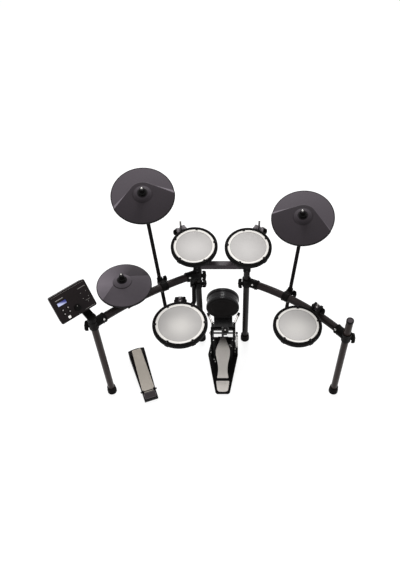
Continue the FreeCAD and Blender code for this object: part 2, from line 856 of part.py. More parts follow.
floor_tom_clamp = right_arm.point(floor_tom_clamp_share)
floor_tom_side = floor_tom_clamp - floor_tom_centre
floor_tom_angle = math.degrees(math.atan2(floor_tom_side.y, floor_tom_side.x))
floor_tom_reach = math.hypot(floor_tom_side.x, floor_tom_side.y) - tom_rim_dia / 2
snare = Pad(snare_centre, 0, snare_rim_dia, snare_depth, snare_tab_count, snare_holder_angle, snare_pin_reach)
tom_one = Pad(tom_one_centre, tom_tilt, tom_rim_dia, tom_depth, tom_tab_count, tom_one_holder_angle,
              tom_pin_reach)
tom_two = Pad(tom_two_centre, tom_tilt, tom_rim_dia, tom_depth, tom_tab_count, tom_two_holder_angle,
              tom_pin_reach)
floor_tom = Pad(floor_tom_centre, 0, tom_rim_dia, tom_depth, tom_tab_count, floor_tom_angle, floor_tom_reach)
pads = {"snare": snare, "tom_one": tom_one, "tom_two": tom_two, "floor_tom": floor_tom}

crash_stand = CymbalStand(left_arm, crash_clamp_share, crash_centre, crash_tilt, crash_side_tilt,
                          tilter_drop, crash_pole_tail, tilter_neck, clamp_gap)
ride_stand = CymbalStand(right_arm, ride_clamp_share, ride_centre, ride_tilt, ride_side_tilt,
                         tilter_drop, ride_pole_tail, tilter_neck, clamp_gap)
hihat_stand = CymbalStand(left_arm, hihat_clamp_share, hihat_centre, hihat_tilt, hihat_side_tilt,
                          hihat_tilter_drop, hihat_pole_tail, hihat_tilter_neck, hihat_clamp_gap)


def build_pads():
    for name, pad in pads.items():
        keep(name + "_shell", pad.shell(), pad.sensor())
        keep(name + "_hoop", pad.hoop())
        keep(name + "_head", pad.head())


def build_tom_rods():
    """L-rods that rise behind the crossbar's ends, and the clamps that hold them."""
    rods = []
    clamps = []
    for side, pad in ((-1, tom_one), (1, tom_two)):
        back = corner_depth / 2
        top = pad.rod_top(tom_rod_above_eye)
        elbow = V(top.x, top.y, tom_rod_height)
        start = V(side * leg_x, back, tom_rod_height)
        bend = start + AWAY * (tom_clamp_depth + tom_rod_run)
        rods.append(pad.eye(bent_rod([start, bend, elbow, top], rod_dia / 2, rod_bend)))
        middle = V(side * leg_x, back + tom_clamp_depth / 2, tom_rod_height)
        block = box(middle, tom_clamp_size, tom_clamp_depth, tom_clamp_size)
        hole = cylinder(start, AWAY, rod_dia / 2 + fixed_fit, tom_clamp_depth + overrun)
        bolt_seat = middle + RIGHT * (side * tom_clamp_size / 2)
        clamps.append(block.cut(hole))
        clamps.append(wing_bolt(bolt_seat, RIGHT * side, UP))
    return rods, clamps


def build_pad_rods():
    """The rods that carry the rack's three pads, and the clamps that hold them."""
    rods, clamps = build_tom_rods()
    snare_rod, snare_clamp = build_snare_rod()
    keep("pad_rods", *rods, snare_rod)
    keep("rod_clamps", *clamps, *snare_clamp)


def build_snare_rod():
    """Bent rod from a collar on the left inner leg, forward and up to the snare's holder."""
    top = snare.rod_top(rod_above_eye)
    snare_rod_height = top.z - snare_rod_rise
    side = inner_leg_dia / 2 + snare_rod_gap + snare_rod_dia / 2
    start = V(-leg_x - side, snare_rod_start, snare_rod_height)
    elbow = V(top.x, top.y, snare_rod_height)
    corner = V(-snare_rod_corner_left, -snare_rod_corner_before, snare_rod_height)
    run = (corner - start).normalize()
    lower = bent_rod([start, corner, elbow, elbow + UP * (2 * rod_bend)], snare_rod_dia / 2, rod_bend)
    upper = cylinder(elbow + UP * (2 * rod_bend), UP, rod_dia / 2, top.z - elbow.z - 2 * rod_bend)
    rod = snare.eye(fused(lower, upper))
    base = V(-leg_x, 0, snare_rod_height - snare_collar_height / 2)
    ring = cylinder(base, UP, inner_leg_dia / 2 + snare_collar_wall, snare_collar_height)
    grip_size = snare_rod_dia + 2 * snare_collar_wall
    grip = box(V(-leg_x - side / 2, 0, snare_rod_height), side + grip_size, grip_size, grip_size)
    body = fused(ring, grip)
    body = body.cut(cylinder(base - UP * overrun, UP, inner_leg_dia / 2 + fixed_fit, 2 * snare_collar_height))
    hole = cylinder(start - run * grip_size, run, snare_rod_dia / 2 + fixed_fit, 3 * grip_size)
    body = body.cut(hole)
    seat = V(-leg_x + inner_leg_dia / 2 + snare_collar_wall + boss_reach, 0, snare_rod_height)
    boss = cylinder(V(-leg_x, 0, snare_rod_height), RIGHT, boss_dia / 2, seat.x + leg_x)
    boss = boss.cut(cylinder(base, UP, inner_leg_dia / 2 + fixed_fit, snare_collar_height))
    return rod, (fused(body, boss), wing_bolt(seat, RIGHT, AWAY))


def grip_bolt(stand):
    """Wing bolt beside a pole's grip, with the flat boss that it turns in."""
    run = stand.arm.tangent(stand.share)
    side = V(run.x, run.y, 0).normalize()
    side = side if side.x > 0 else side * -1
    seat = stand.clamp + side * (clamp_width / 2 + boss_reach)
    return side, seat


def clamp_with_boss(stand):
    away, seat = grip_bolt(stand)
    boss = cylinder(stand.clamp, away, boss_dia / 2, (seat - stand.clamp).Length)
    hole_base = stand.clamp - stand.dir * clamp_height
    boss = boss.cut(cylinder(hole_base, stand.dir, pole_radius + running_fit, 2 * clamp_height))
    return fused(stand.clamp_body(), boss), wing_bolt(seat, away, UP)


def top_clamp(arm, share, radius):
    """Collar on the arm with an upright boss that holds a rod above it."""
    half = arm.share(clamp_width / 2)
    collar = arm.rod(share - half, share + half, arm_radius + clamp_wall)
    middle = arm.point(share)
    boss = cylinder(middle, UP, radius + clamp_wall, arm_radius + clamp_wall + floor_tom_boss)
    wide = half + arm.share(overrun)
    body = fused(collar, boss).cut(arm.rod(share - wide, share + wide, arm_radius + fixed_fit))
    return body.cut(cylinder(middle, UP, radius + fixed_fit, arm_dia + floor_tom_boss))


def build_left_wing():
    """Left arm with its joints, outer leg and the clamps on it."""
    inward = RIGHT
    outward = V(-1, 0, 0)
    keep("left_arm", arm_tube(left_arm, inner_leg_dia, outer_leg_dia))
    inner_joint = arm_joint(left_arm, False, -leg_x, 0, inner_leg_dia, running_fit, inward)
    outer_joint = arm_joint(left_arm, True, -outer_x, outer_y, outer_leg_dia, fixed_fit, outward)
    inner_bolt = joint_bolt(left_arm, False, -leg_x, 0, inner_leg_dia, inward)
    outer_bolt = joint_bolt(left_arm, True, -outer_x, outer_y, outer_leg_dia, outward)
    keep("left_arm_joints", inner_joint, outer_joint, inner_bolt, outer_bolt)
    keep("left_outer_leg", leg_tube(-outer_x, outer_y, outer_leg_dia, left_leg_top))
    keep("left_leg_foot", leg_foot(-outer_x, outer_y, outer_leg_dia))
    crash_clamp, crash_bolt = clamp_with_boss(crash_stand)
    hihat_clamp, hihat_bolt = clamp_with_boss(hihat_stand)
    keep("left_rack_clamps", crash_clamp, hihat_clamp, crash_bolt, hihat_bolt)


def build_right_wing():
    """Right arm with its joints, outer leg, clamps and the floor tom's rod."""
    inward = V(-1, 0, 0)
    outward = RIGHT
    keep("right_arm", arm_tube(right_arm, inner_leg_dia, outer_leg_dia))
    inner_joint = arm_joint(right_arm, False, leg_x, 0, inner_leg_dia, running_fit, inward)
    outer_joint = arm_joint(right_arm, True, outer_x, outer_y, outer_leg_dia, fixed_fit, outward)
    inner_bolt = joint_bolt(right_arm, False, leg_x, 0, inner_leg_dia, inward)
    outer_bolt = joint_bolt(right_arm, True, outer_x, outer_y, outer_leg_dia, outward)
    keep("right_arm_joints", inner_joint, outer_joint, inner_bolt, outer_bolt)
    keep("right_outer_leg", leg_tube(outer_x, outer_y, outer_leg_dia, right_leg_top))
    cap_profile = [(0, 0), (outer_leg_dia / 2, 0), (outer_leg_dia / 2, cap_wall), (0, cap_wall)]
    plug_radius = outer_leg_dia / 2 - leg_wall - fixed_fit
    plug = cylinder(V(outer_x, outer_y, right_leg_top - cap_height), UP, plug_radius, cap_height)
    cap = fused(lathe(cap_profile).translated(V(outer_x, outer_y, right_leg_top)), plug)
    keep("right_leg_ends", leg_foot(outer_x, outer_y, outer_leg_dia), cap)
    ride_clamp, ride_bolt = clamp_with_boss(ride_stand)
    tom_clamp = top_clamp(right_arm, floor_tom_clamp_share, rod_dia / 2)
    keep("right_rack_clamps", ride_clamp, tom_clamp, ride_bolt)
    foot = floor_tom_clamp + UP * (arm_radius + fixed_fit)
    top = floor_tom.rod_top(rod_above_eye)
    rod = cylinder(foot, UP, rod_dia / 2, top.z - foot.z)
    keep("floor_tom_rod", floor_tom.eye(rod))


def build_cymbals():
    stands = {"crash": (crash_stand, crash_dia, crash_sector), "ride": (ride_stand, crash_dia, ride_sector),
              "hihat": (hihat_stand, hihat_dia, hihat_sector)}
    for name, (stand, diameter, sector) in stands.items():
        keep(name + "_pole", *stand.pole())
        if name == "hihat":
            core, cover = stand.offset_cymbal(diameter, sector, hihat_offset)
        else:
            core, cover = stand.cymbal(diameter, sector)
        keep(name + "_core", core)
        keep(name + "_rubber", cover)


def module_frame():
    """Placement of the module's face: local x along its width, y up its slope, z out of it."""
    yaw = math.radians(module_yaw)
    slope = math.radians(module_slope)
    across = V(math.cos(yaw), math.sin(yaw), 0)
    back = V(-math.sin(yaw), math.cos(yaw), 0)
    rise = back * math.cos(slope) + UP * math.sin(slope)
    normal = across.cross(rise)
    hinge = V(-outer_x, outer_y, left_leg_top + bracket_rise) + back * bracket_reach
    behind = module_depth + module_hinge_back
    centre = hinge - across * module_side + rise * module_hinge_up + normal * behind
    return axes(centre, across, normal), hinge, across, back


def button_places():
    """Two rows of two small buttons, the second row a step to the right."""
    places = []
    for row in (0, 1):
        for column in (0, 1):
            places.append(button_first + V(column * button_pitch, -row * button_row, 0))
    return places


def case_outline(inset, height):
    """Rounded rectangle of the module's case, set in from its face's size."""
    middle = V(0, 0, height - module_wall / 2)
    tile = box(middle, module_width - 2 * inset, module_height - 2 * inset, module_wall)
    tile = tile.makeFillet(module_corner, [e for e in tile.Edges if abs(e.tangentAt(0).z) > 0.5])
    return max(tile.Faces, key=lambda face: face.CenterOfMass.z).OuterWire


def build_module():
    frame, hinge, across, back = module_frame()
    depth = module_depth
    outer = Part.makeLoft([case_outline(module_taper, -depth), case_outline(0, 0)], True, True)
    border = 2 * (module_taper + module_wall)
    inner = box(V(0, 0, -depth / 2), module_width - border, module_height - border, depth - 2 * module_wall)
    case = outer.cut(inner)
    case = case.cut(box(display_place, display_width, display_height, 2 * display_recess))
    for place in button_places():
        case = case.cut(cylinder(place - UP * depth / 2, UP, button_dia / 2 + soft_gap / 2, depth))
    lit_space = lit_button_size + soft_gap
    case = case.cut(box(lit_button_place, lit_space, lit_space, depth))
    case = case.cut(cylinder(dial_place - UP * depth / 2, UP, shaft_dia / 2 + running_fit, depth))
    neck_height = module_hinge_back + bracket_barrel_dia / 2
    hinge_local = V(module_side, -module_hinge_up, -depth - module_hinge_back)
    barrel = cylinder(hinge_local - RIGHT * bracket_barrel_length / 2, RIGHT, bracket_barrel_dia / 2,
                      bracket_barrel_length)
    neck = box(hinge_local + UP * (module_hinge_back + module_wall) / 2, bracket_barrel_length,
               bracket_barrel_dia, module_hinge_back + module_wall)
    neck = neck.common(box(hinge_local + UP * neck_height / 2, module_width, module_height, neck_height))
    case = fused(case, barrel, neck)
    pin_space = cylinder(hinge_local - RIGHT * module_width, RIGHT, bracket_pin_dia / 2 + running_fit,
                         2 * module_width)
    inside = box(V(0, 0, -depth / 2), module_width, module_height, depth - module_wall)
    case = case.cut(pin_space.cut(inside))
    keep("module_case", placed(case, frame))
    build_module_controls(frame)
    build_module_bracket(hinge, across, back)


def build_module_controls(frame):
    """Buttons in their holes and a dial on its shaft."""
    low = module_wall + button_travel
    for index, place in enumerate(button_places()):
        cap = cylinder(place - UP * low, UP, button_dia / 2, low + button_height)
        keep("button_%d" % (index + 1), placed(cap, frame))
    middle = lit_button_place + UP * (button_height - low) / 2
    lit = box(middle, lit_button_size, lit_button_size, low + button_height)
    keep("lit_button", placed(lit, frame))
    knob = cylinder(dial_place + UP * soft_gap, UP, dial_dia / 2, dial_height)
    shaft = cylinder(dial_place - UP * shaft_length, UP, shaft_dia / 2, shaft_length + dial_height)
    keep("value_dial", placed(fused(knob, shaft), frame))


def build_module_bracket(hinge, across, back):
    """Collar on the leg's top, an arm under the module, two ears and the hinge pin."""
    top = V(-outer_x, outer_y, left_leg_top)
    radius = outer_leg_dia / 2 + bracket_collar_wall
    arm_top = hinge.z - bracket_arm_drop
    collar_low = left_leg_top - bracket_collar_height
    collar = cylinder(V(top.x, top.y, collar_low), UP, radius, arm_top - collar_low)
    frame = axes(V(top.x, top.y, arm_top - bracket_arm_height), across, UP)
    arm_length = bracket_reach + bracket_barrel_dia / 2
    arm = Part.makeBox(bracket_arm_width, arm_length, bracket_arm_height, V(-bracket_arm_width / 2, 0, 0))
    ear_offset = bracket_barrel_length / 2 + soft_gap
    pieces = [collar, placed(arm, frame)]
    head = Part.makeBox(2 * (ear_offset + bracket_ear), bracket_barrel_dia, bracket_arm_height,
                        V(-ear_offset - bracket_ear, bracket_reach - bracket_barrel_dia / 2, 0))
    pieces.append(placed(head, frame))
    for side in (-1, 1):
        begin = ear_offset if side > 0 else -ear_offset - bracket_ear
        plate = Part.makeBox(bracket_ear, bracket_barrel_dia, bracket_arm_drop + bracket_arm_height,
                             V(begin, bracket_reach - bracket_barrel_dia / 2, 0))
        pieces.append(placed(plate, frame))
        pieces.append(cylinder(hinge + across * begin, across, bracket_barrel_dia / 2, bracket_ear))
    span = 2 * (ear_offset + bracket_ear)
    pieces.append(cylinder(hinge - across * (span / 2), across, bracket_pin_dia / 2, span))
    body = fused(*pieces)
    leg_space = cylinder(V(top.x, top.y, collar_low - overrun), UP, outer_leg_dia / 2 + fixed_fit,
                         bracket_collar_height + overrun)
    keep("module_bracket", body.cut(leg_space))


def build_kick_tower():
    """Upright pad on a column with floor rails, a front lip and two rear struts."""
    face = -kick_face_forward
    facing = axes(V(0, face, kick_axis_height), RIGHT, V(0, -1, 0))
    rim = kick_dia / 2
    waist = kick_waist_dia / 2
    mouth = kick_head_dia / 2 + soft_gap
    seat = -kick_head_thickness - soft_gap
    inside = mouth - kick_wall
    profile = [(0, -kick_length), (rim, -kick_length), (rim, kick_hoop - kick_length),
               (waist, kick_hoop - kick_length + kick_wall), (waist, -kick_hoop - kick_wall),
               (rim, -kick_hoop), (rim, 0), (mouth, 0), (mouth, seat), (inside, seat),
               (inside, kick_wall - kick_length), (0, kick_wall - kick_length)]
    keep("kick_shell", placed(lathe(profile), facing))
    radius = kick_head_dia / 2
    ring = radius * kick_ring_share
    pad = [(0, -kick_head_thickness), (radius, -kick_head_thickness), (radius, 0),
           (ring, 0), (ring, kick_head_crown / 2), (0, kick_head_crown)]
    keep("kick_head", placed(lathe(pad), facing))
    back = face + kick_length
    height = column_top - base_rail_height
    middle = V(0, back + column_depth / 2, (column_top + base_rail_height) / 2)
    column = box(middle, column_width, column_depth, height)
    hollow = box(middle - UP * column_wall, column_width - 2 * column_wall, column_depth - 2 * column_wall,
                 height)
    edges = [e for e in column.Edges if abs(e.tangentAt(0).z) > 0.5]
    keep("kick_column", column.makeFillet(column_wall, edges).cut(hollow))
    build_kick_base(back)


def build_kick_base(back):
    """Two floor rails, the lip that the pedal grips, the plate under the column and the struts."""
    rails = []
    length = base_front + base_back
    for side in (-1, 1):
        rail_x = side * (base_rail_half - base_rail_width / 2)
        middle = V(rail_x, (base_back - base_front) / 2, base_rail_height / 2)
        rails.append(box(middle, base_rail_width, length, base_rail_height))
    lip_middle = V(0, base_lip / 2 - base_front, base_rail_height / 2)
    lip = box(lip_middle, 2 * base_rail_half, base_lip, base_rail_height)
    plate_depth = base_back - back
    plate_middle = V(0, back + plate_depth / 2, base_rail_height / 2)
    plate = box(plate_middle, 2 * base_rail_half, plate_depth, base_rail_height)
    struts = []
    tips = []
    for side in (-1, 1):
        rail_middle = base_rail_half - base_rail_width / 2
        start = V(side * rail_middle, base_back - base_rail_width, strut_tip_dia / 2)
        end = start + V(side * strut_out, strut_back, 0)
        run = (end - start)
        struts.append(cylinder(start, run, strut_dia / 2, run.Length))
        tip_dir = V(run).normalize()
        tip = cylinder(end - tip_dir * (strut_tip_length / 2), tip_dir, strut_tip_dia / 2, strut_tip_length)
        tips.append(tip.cut(cylinder(start, run, strut_dia / 2 + fixed_fit, run.Length)))
    keep("kick_base", fused(*rails, lip, plate, *struts), *tips)


def pedal_outline():
    return [(-pedal_front_half, -base_front - pedal_front), (pedal_front_half, -base_front - pedal_front),
            (pedal_wide_half, -pedal_wide_back), (pedal_heel_half, -pedal_heel_back + pedal_edge),
            (pedal_heel_half - pedal_edge, -pedal_heel_back), (pedal_edge - pedal_heel_half, -pedal_heel_back),
            (-pedal_heel_half, -pedal_heel_back + pedal_edge), (-pedal_wide_half, -pedal_wide_back)]


def board_side(side):
    """Curved edge of the footboard, from its heel to its toe."""
    points = []
    for place, half in zip(board_place_shares, board_half_shares):
        points.append(V(side * half * board_wide_half, place * board_length, 0))
    curve = Part.BSplineCurve()
    curve.interpolate(points)
    return curve.toShape(), points


def build_kick_pedal():
    plate = prism(pedal_outline(), pedal_plate)
    heel_y = -heel_hinge_back
    heel_middle = heel_y - heel_plate_length / 2 - heel_block_gap
    heel_height = heel_hinge_height - heel_plate_thickness - pedal_plate
    heel = box(V(0, heel_middle, pedal_plate + heel_height / 2), 2 * heel_plate_end_half, heel_plate_length,
               heel_height)
    lugs = []
    lug_length = (heel_plate_half - board_knuckle_half - soft_gap)
    for side in (-1, 1):
        begin = V(board_knuckle_half + soft_gap if side > 0 else -heel_plate_half, heel_y, heel_hinge_height)
        lugs.append(cylinder(begin, RIGHT, board_knuckle_dia / 2, lug_length))
        lug_middle = V(begin.x + lug_length / 2, heel_y, (heel_hinge_height + pedal_plate) / 2)
        lugs.append(box(lug_middle, lug_length, board_knuckle_dia, heel_hinge_height - pedal_plate))
    pin_end = V(-heel_plate_half, heel_y, heel_hinge_height)
    pin = cylinder(pin_end, RIGHT, hinge_pin_dia / 2, 2 * heel_plate_half)
    foot_base = V(spring_side, -axle_back - spring_lever, pedal_plate)
    spring_low = axle_height - spring_lever_thickness / 2 - soft_gap - spring_length - spring_wire
    foot_height = spring_low - soft_gap - pedal_plate
    foot = box(foot_base + UP * foot_height / 2, spring_foot_size, spring_foot_size, foot_height)
    jaw_front = -base_front - pedal_front
    jaw = box(V(0, jaw_front - pedal_jaw_depth / 2, pedal_plate + pedal_jaw_height / 2), pedal_jaw_width,
              pedal_jaw_depth, pedal_jaw_height)
    over_lip = box(V(0, jaw_front + pedal_jaw_depth / 2, base_rail_height + pedal_jaw_height / 2),
                   pedal_jaw_width, pedal_jaw_depth, pedal_jaw_height - 2 * soft_gap)
    keep("pedal_base", fused(plate, heel, *lugs, pin, foot, jaw, over_lip))
    silver_outline = [(-heel_plate_half, heel_y - heel_block_gap), (heel_plate_half, heel_y - heel_block_gap),
                      (heel_plate_end_half, heel_y - heel_block_gap - heel_plate_length),
                      (-heel_plate_end_half, heel_y - heel_block_gap - heel_plate_length)]
    silver = prism(silver_outline, heel_plate_thickness)
    keep("pedal_heel_plate", silver.translated(UP * (heel_hinge_height - heel_plate_thickness)))
    build_footboard(heel_y)
    build_pedal_frame()
    build_beater()
    build_chain()
    build_spring(foot_base)


def build_footboard(heel_y):
    right_edge, right_points = board_side(1)
    left_edge, left_points = board_side(-1)
    toe = Part.makeLine(right_points[-1], left_points[-1])
    heel = Part.makeLine(left_points[0], right_points[0])
    outline = Part.Wire(Part.__sortEdges__([right_edge, toe, left_edge, heel]))
    board = Part.Face(outline).extrude(UP * board_thickness)
    board.translate(UP * -board_thickness / 2)
    knuckle = cylinder(V(-board_knuckle_half, 0, 0), RIGHT, board_knuckle_dia / 2, 2 * board_knuckle_half)
    tongue = box(V(0, board_knuckle_dia / 2, 0), 2 * board_knuckle_half, board_knuckle_dia, board_thickness)
    whole = fused(board, knuckle, tongue)
    pin_radius = hinge_pin_dia / 2 + running_fit
    whole = whole.cut(cylinder(V(-board_wide_half, 0, 0), RIGHT, pin_radius, 2 * board_wide_half))
    slope = FreeCAD.Rotation(RIGHT, board_slope)
    sloped = placed(whole, FreeCAD.Placement(V(0, heel_y, heel_hinge_height), slope))
    line_y, toe_z, pitch, count = chain_run()
    clip_height = axle_height - count * pitch - toe_z
    clip = box(V(0, line_y, toe_z + clip_height / 2), chain_clip_width, chain_clip_depth, clip_height)
    keep("footboard", fused(sloped, clip))


def build_pedal_frame():
    """Two posts that carry the axle, and the yoke bar that ties them."""
    axle = V(0, -axle_back, axle_height)
    pieces = []
    for side in (-1, 1):
        begin = side * post_half - post_width / 2
        outline = [(-axle_back - post_foot_depth / 2, pedal_plate),
                   (-axle_back + post_foot_depth / 2, pedal_plate),
                   (-axle_back + post_depth / 2, axle_height), (-axle_back - post_depth / 2, axle_height)]
        corners = [V(begin, y, z) for y, z in outline]
        side_face = Part.Face(Part.makePolygon(corners + corners[:1]))
        pieces.append(side_face.extrude(RIGHT * post_width))
        pieces.append(cylinder(V(begin, axle.y, axle.z), RIGHT, post_depth / 2, post_width))
        link_middle = V(side * post_half, axle.y + yoke_ahead / 2, axle_height - yoke_drop)
        pieces.append(box(link_middle, post_width, yoke_ahead, yoke_dia))
    yoke = cylinder(V(-post_half - post_width / 2, axle.y + yoke_ahead, axle_height - yoke_drop), RIGHT,
                    yoke_dia / 2, 2 * post_half + post_width)
    body = fused(*pieces, yoke)
    bore_start = V(-pedal_wide_half, axle.y, axle.z)
    bore = cylinder(bore_start, RIGHT, axle_dia / 2 + running_fit, 2 * pedal_wide_half)
    keep("pedal_frame", body.cut(bore))


def build_beater():
    """Axle with its hub, cam and lever; the beater rod and head lean back towards the drummer."""
    axle = V(0, -axle_back, axle_height)
    start = V(-post_half - post_width, axle.y, axle.z)
    end_x = spring_side + spring_lever_thickness
    shaft = cylinder(start, RIGHT, axle_dia / 2, end_x - start.x)
    cam = cylinder(axle - RIGHT * (cam_width / 2), RIGHT, cam_radius, cam_width)
    hub = cylinder(axle - RIGHT * (cam_width / 2), RIGHT, hub_dia / 2, cam_width + hub_length)
    lever = box(V(spring_side, axle.y - spring_lever / 2, axle.z), spring_lever_thickness,
                spring_lever + spring_pin_dia * 2, spring_lever_thickness)
    keep("beater_axle", fused(shaft, cam, hub, lever))
    lean = math.radians(beater_lean)
    up_dir = V(0, -math.sin(lean), math.cos(lean))
    foot = axle + RIGHT * (cam_width / 2 + hub_length / 2)
    rod_start = foot + up_dir * (hub_dia / 2 - beater_rod_dia / 2)
    rod = cylinder(rod_start, up_dir, beater_rod_dia / 2, beater_length - hub_dia / 2)
    hub_length_cut = cam_width + 2 * hub_length
    rod = rod.cut(cylinder(axle - RIGHT * cam_width, RIGHT, hub_dia / 2 + fixed_fit, hub_length_cut))
    middle = foot + up_dir * beater_length
    head = Part.makeSphere(beater_head_dia / 2, middle)
    keep("beater", fused(rod, head))


def chain_run():
    """Line of the hanging chain, its pitch and the number of links above the footboard's toe."""
    line_y = -axle_back + cam_radius + soft_gap + chain_thickness / 2
    slope = math.radians(board_slope)
    toe_z = heel_hinge_height + (line_y + heel_hinge_back) * math.tan(slope)
    low = toe_z + board_thickness / 2 / math.cos(slope) + chain_thickness
    pitch = chain_link + chain_link_gap
    return line_y, toe_z, pitch, int((axle_height - low) / pitch)


def build_chain():
    """Links over the front of the cam and straight down to the footboard's toe."""
    line_y, toe_z, pitch, count = chain_run()
    links = []
    for index in range(count):
        z = axle_height - (index + 0.5) * pitch
        links.append(box(V(0, line_y, z), chain_width, chain_thickness, chain_link))
    wrap = cam_radius + soft_gap + chain_thickness / 2
    for index in range(chain_wrap_count):
        turn = (index + 0.5) * pitch / (cam_radius + soft_gap)
        link = box(V(0, wrap, 0), chain_width, chain_thickness, chain_link)
        link.rotate(V(0, 0, 0), RIGHT, math.degrees(turn))
        link.translate(V(0, -axle_back, axle_height))
        links.append(link)
    keep("pedal_chain", *links)


def biarc(begin, begin_dir, end, end_dir):
    """Two arcs that join two points smoothly along the given directions."""
    gap = end - begin
    both = begin_dir + end_dir
    spread = 2 * (1 - begin_dir.dot(end_dir))
    dot = gap.dot(both)
    reach = (math.sqrt(dot * dot + spread * gap.dot(gap)) - dot) / spread
    first = begin + begin_dir * reach
    second = end - end_dir * reach
    middle = (first + second) * 0.5
    return [tangent_arc(begin, first, middle), tangent_arc(middle, second, end)]


def tangent_arc(begin, corner, end):
    """Arc from begin to end whose end tangents meet at the corner."""
    chord = end - begin
    middle = (begin + end) * 0.5
    angle = (corner - begin).getAngle(chord)
    rise = chord.Length / 2 * math.tan(angle / 2)
    top = middle + (corner - middle).normalize() * rise
    return Part.Arc(begin, top, end).toShape()


def build_spring(foot_base):
    """Close-wound return spring as one unbroken coil of wire."""
    radius = spring_dia / 2 - spring_wire / 2
    pitch = spring_length / spring_turn_count
    low = axle_height - spring_lever_thickness / 2 - soft_gap - spring_length - spring_wire / 2
    centre = V(foot_base.x, foot_base.y, low)
    rise = pitch / (2 * math.pi)
    steps = spring_turn_count * 4
    edges = []
    for index in range(steps):
        ends = []
        for turn in (index * math.pi / 2, (index + 1) * math.pi / 2):
            point = centre + V(radius * math.cos(turn), radius * math.sin(turn), rise * turn)
            run = V(-radius * math.sin(turn), radius * math.cos(turn), rise).normalize()
            ends.append((point, run))
        edges.extend(biarc(ends[0][0], ends[0][1], ends[1][0], ends[1][1]))
    path = Part.Wire(edges)
    begin = centre + V(radius, 0, 0)
    ring = Part.Wire(Part.makeCircle(spring_wire / 2, begin, V(0, radius, rise)))
    keep("pedal_spring", path.makePipeShell([ring], True, False))
    print("spring: least gap between turns %.2f mm" % (pitch - spring_wire))


def hat_frame():
    return FreeCAD.Placement(hat_pedal_heel, FreeCAD.Rotation(UP, hat_pedal_turn))


def hat_toe_cap(toe):
    """Wall across the toe end, bulging forward."""
    left = V(-hat_base_toe_half, toe, 0)
    right = V(hat_base_toe_half, toe, 0)
    inset = AWAY * -hat_toe_wall
    front = Part.Arc(right, V(0, toe + hat_toe_bulge, 0), left).toShape()
    sides = Part.makePolygon([left, left + inset, right + inset, right])
    return Part.Face(Part.Wire([front] + sides.Edges)).extrude(UP * hat_cheek_height)


def build_hat_pedal():
    """Wedge-shaped base with cheeks, a heel block, and a footboard hinged at the heel."""
    frame = hat_frame()
    slope = math.radians(hat_board_slope)
    run = hat_board_length * math.cos(slope)
    toe = run + hat_toe_extra
    outline = [(-hat_base_heel_half, -hat_heel_lead), (hat_base_heel_half, -hat_heel_lead),
               (hat_base_toe_half, toe), (-hat_base_toe_half, toe)]
    block = prism(outline, hat_cheek_height)
    above = [V(-outer_x, -hat_heel_lead, hat_hinge_height - hat_board_thickness),
             V(-outer_x, toe - 2 * hat_toe_extra, hat_cheek_height),
             V(-outer_x, toe - 2 * hat_toe_extra, hat_cheek_height + overrun),
             V(-outer_x, -hat_heel_lead - overrun, hat_cheek_height + overrun),
             V(-outer_x, -hat_heel_lead - overrun, hat_hinge_height - hat_board_thickness)]
    wedge = Part.Face(Part.makePolygon(above + above[:1])).extrude(RIGHT * outer_leg_spacing)
    channel = [(-hat_board_heel_half - hat_gap, -hat_heel_lead - overrun),
               (hat_board_heel_half + hat_gap, -hat_heel_lead - overrun),
               (hat_board_toe_half + hat_gap, toe + overrun), (-hat_board_toe_half - hat_gap, toe + overrun)]
    hollow = prism(channel, hat_cheek_height + overrun).translated(UP * hat_base_thickness)
    body = block.cut(wedge).cut(hollow)
    stop = cylinder(V(0, run * hat_stop_share, hat_base_thickness), UP, hat_stop_dia / 2, hat_stop_height)
    pieces = [body, stop, hat_toe_cap(toe)]
    lug_length = hat_base_heel_half - hat_knuckle_half - soft_gap
    for side in (-1, 1):
        begin = hat_knuckle_half + soft_gap if side > 0 else -hat_base_heel_half
        pieces.append(cylinder(V(begin, 0, hat_hinge_height), RIGHT, hat_knuckle_dia / 2, lug_length))
        pieces.append(box(V(begin + lug_length / 2, 0, hat_hinge_height / 2), lug_length, hat_knuckle_dia,
                          hat_hinge_height))
    pin_half = hat_base_heel_half + hat_pin_dia / 2
    pieces.append(cylinder(V(-pin_half, 0, hat_hinge_height), RIGHT, hat_pin_dia / 2, 2 * pin_half))
    heel = box(V(0, -hat_heel_lead - hat_heel_length / 2, hat_heel_height / 2), 2 * hat_base_heel_half,
               hat_heel_length, hat_heel_height)
    top_edges = [e for e in heel.Edges if e.CenterOfMass.z > hat_heel_height / 2]
    heel = heel.makeFillet(hat_heel_round, top_edges)
    keep("hat_pedal_base", placed(fused(*pieces), frame), placed(heel, frame))
    board_start = hat_knuckle_dia / 2 + hat_gap
    board_outline = [(-hat_board_heel_half, board_start), (hat_board_heel_half, board_start),
                     (hat_board_toe_half, hat_board_length), (-hat_board_toe_half, hat_board_length)]
    board = prism(board_outline, hat_board_thickness).translated(UP * -hat_board_thickness / 2)
    knuckle = cylinder(V(-hat_knuckle_half, 0, 0), RIGHT, hat_knuckle_dia / 2, 2 * hat_knuckle_half)
    tongue = box(V(0, hat_knuckle_dia / 2, 0), 2 * hat_knuckle_half, hat_knuckle_dia, hat_board_thickness)
    whole = fused(board, knuckle, tongue)
    whole = whole.cut(cylinder(V(-hat_base_toe_half, 0, 0), RIGHT, hat_pin_dia / 2 + running_fit,
                               2 * hat_base_toe_half))
    tilt = FreeCAD.Placement(V(0, 0, hat_hinge_height), FreeCAD.Rotation(RIGHT, hat_board_slope))
    keep("hat_footboard", placed(placed(whole, tilt), frame))


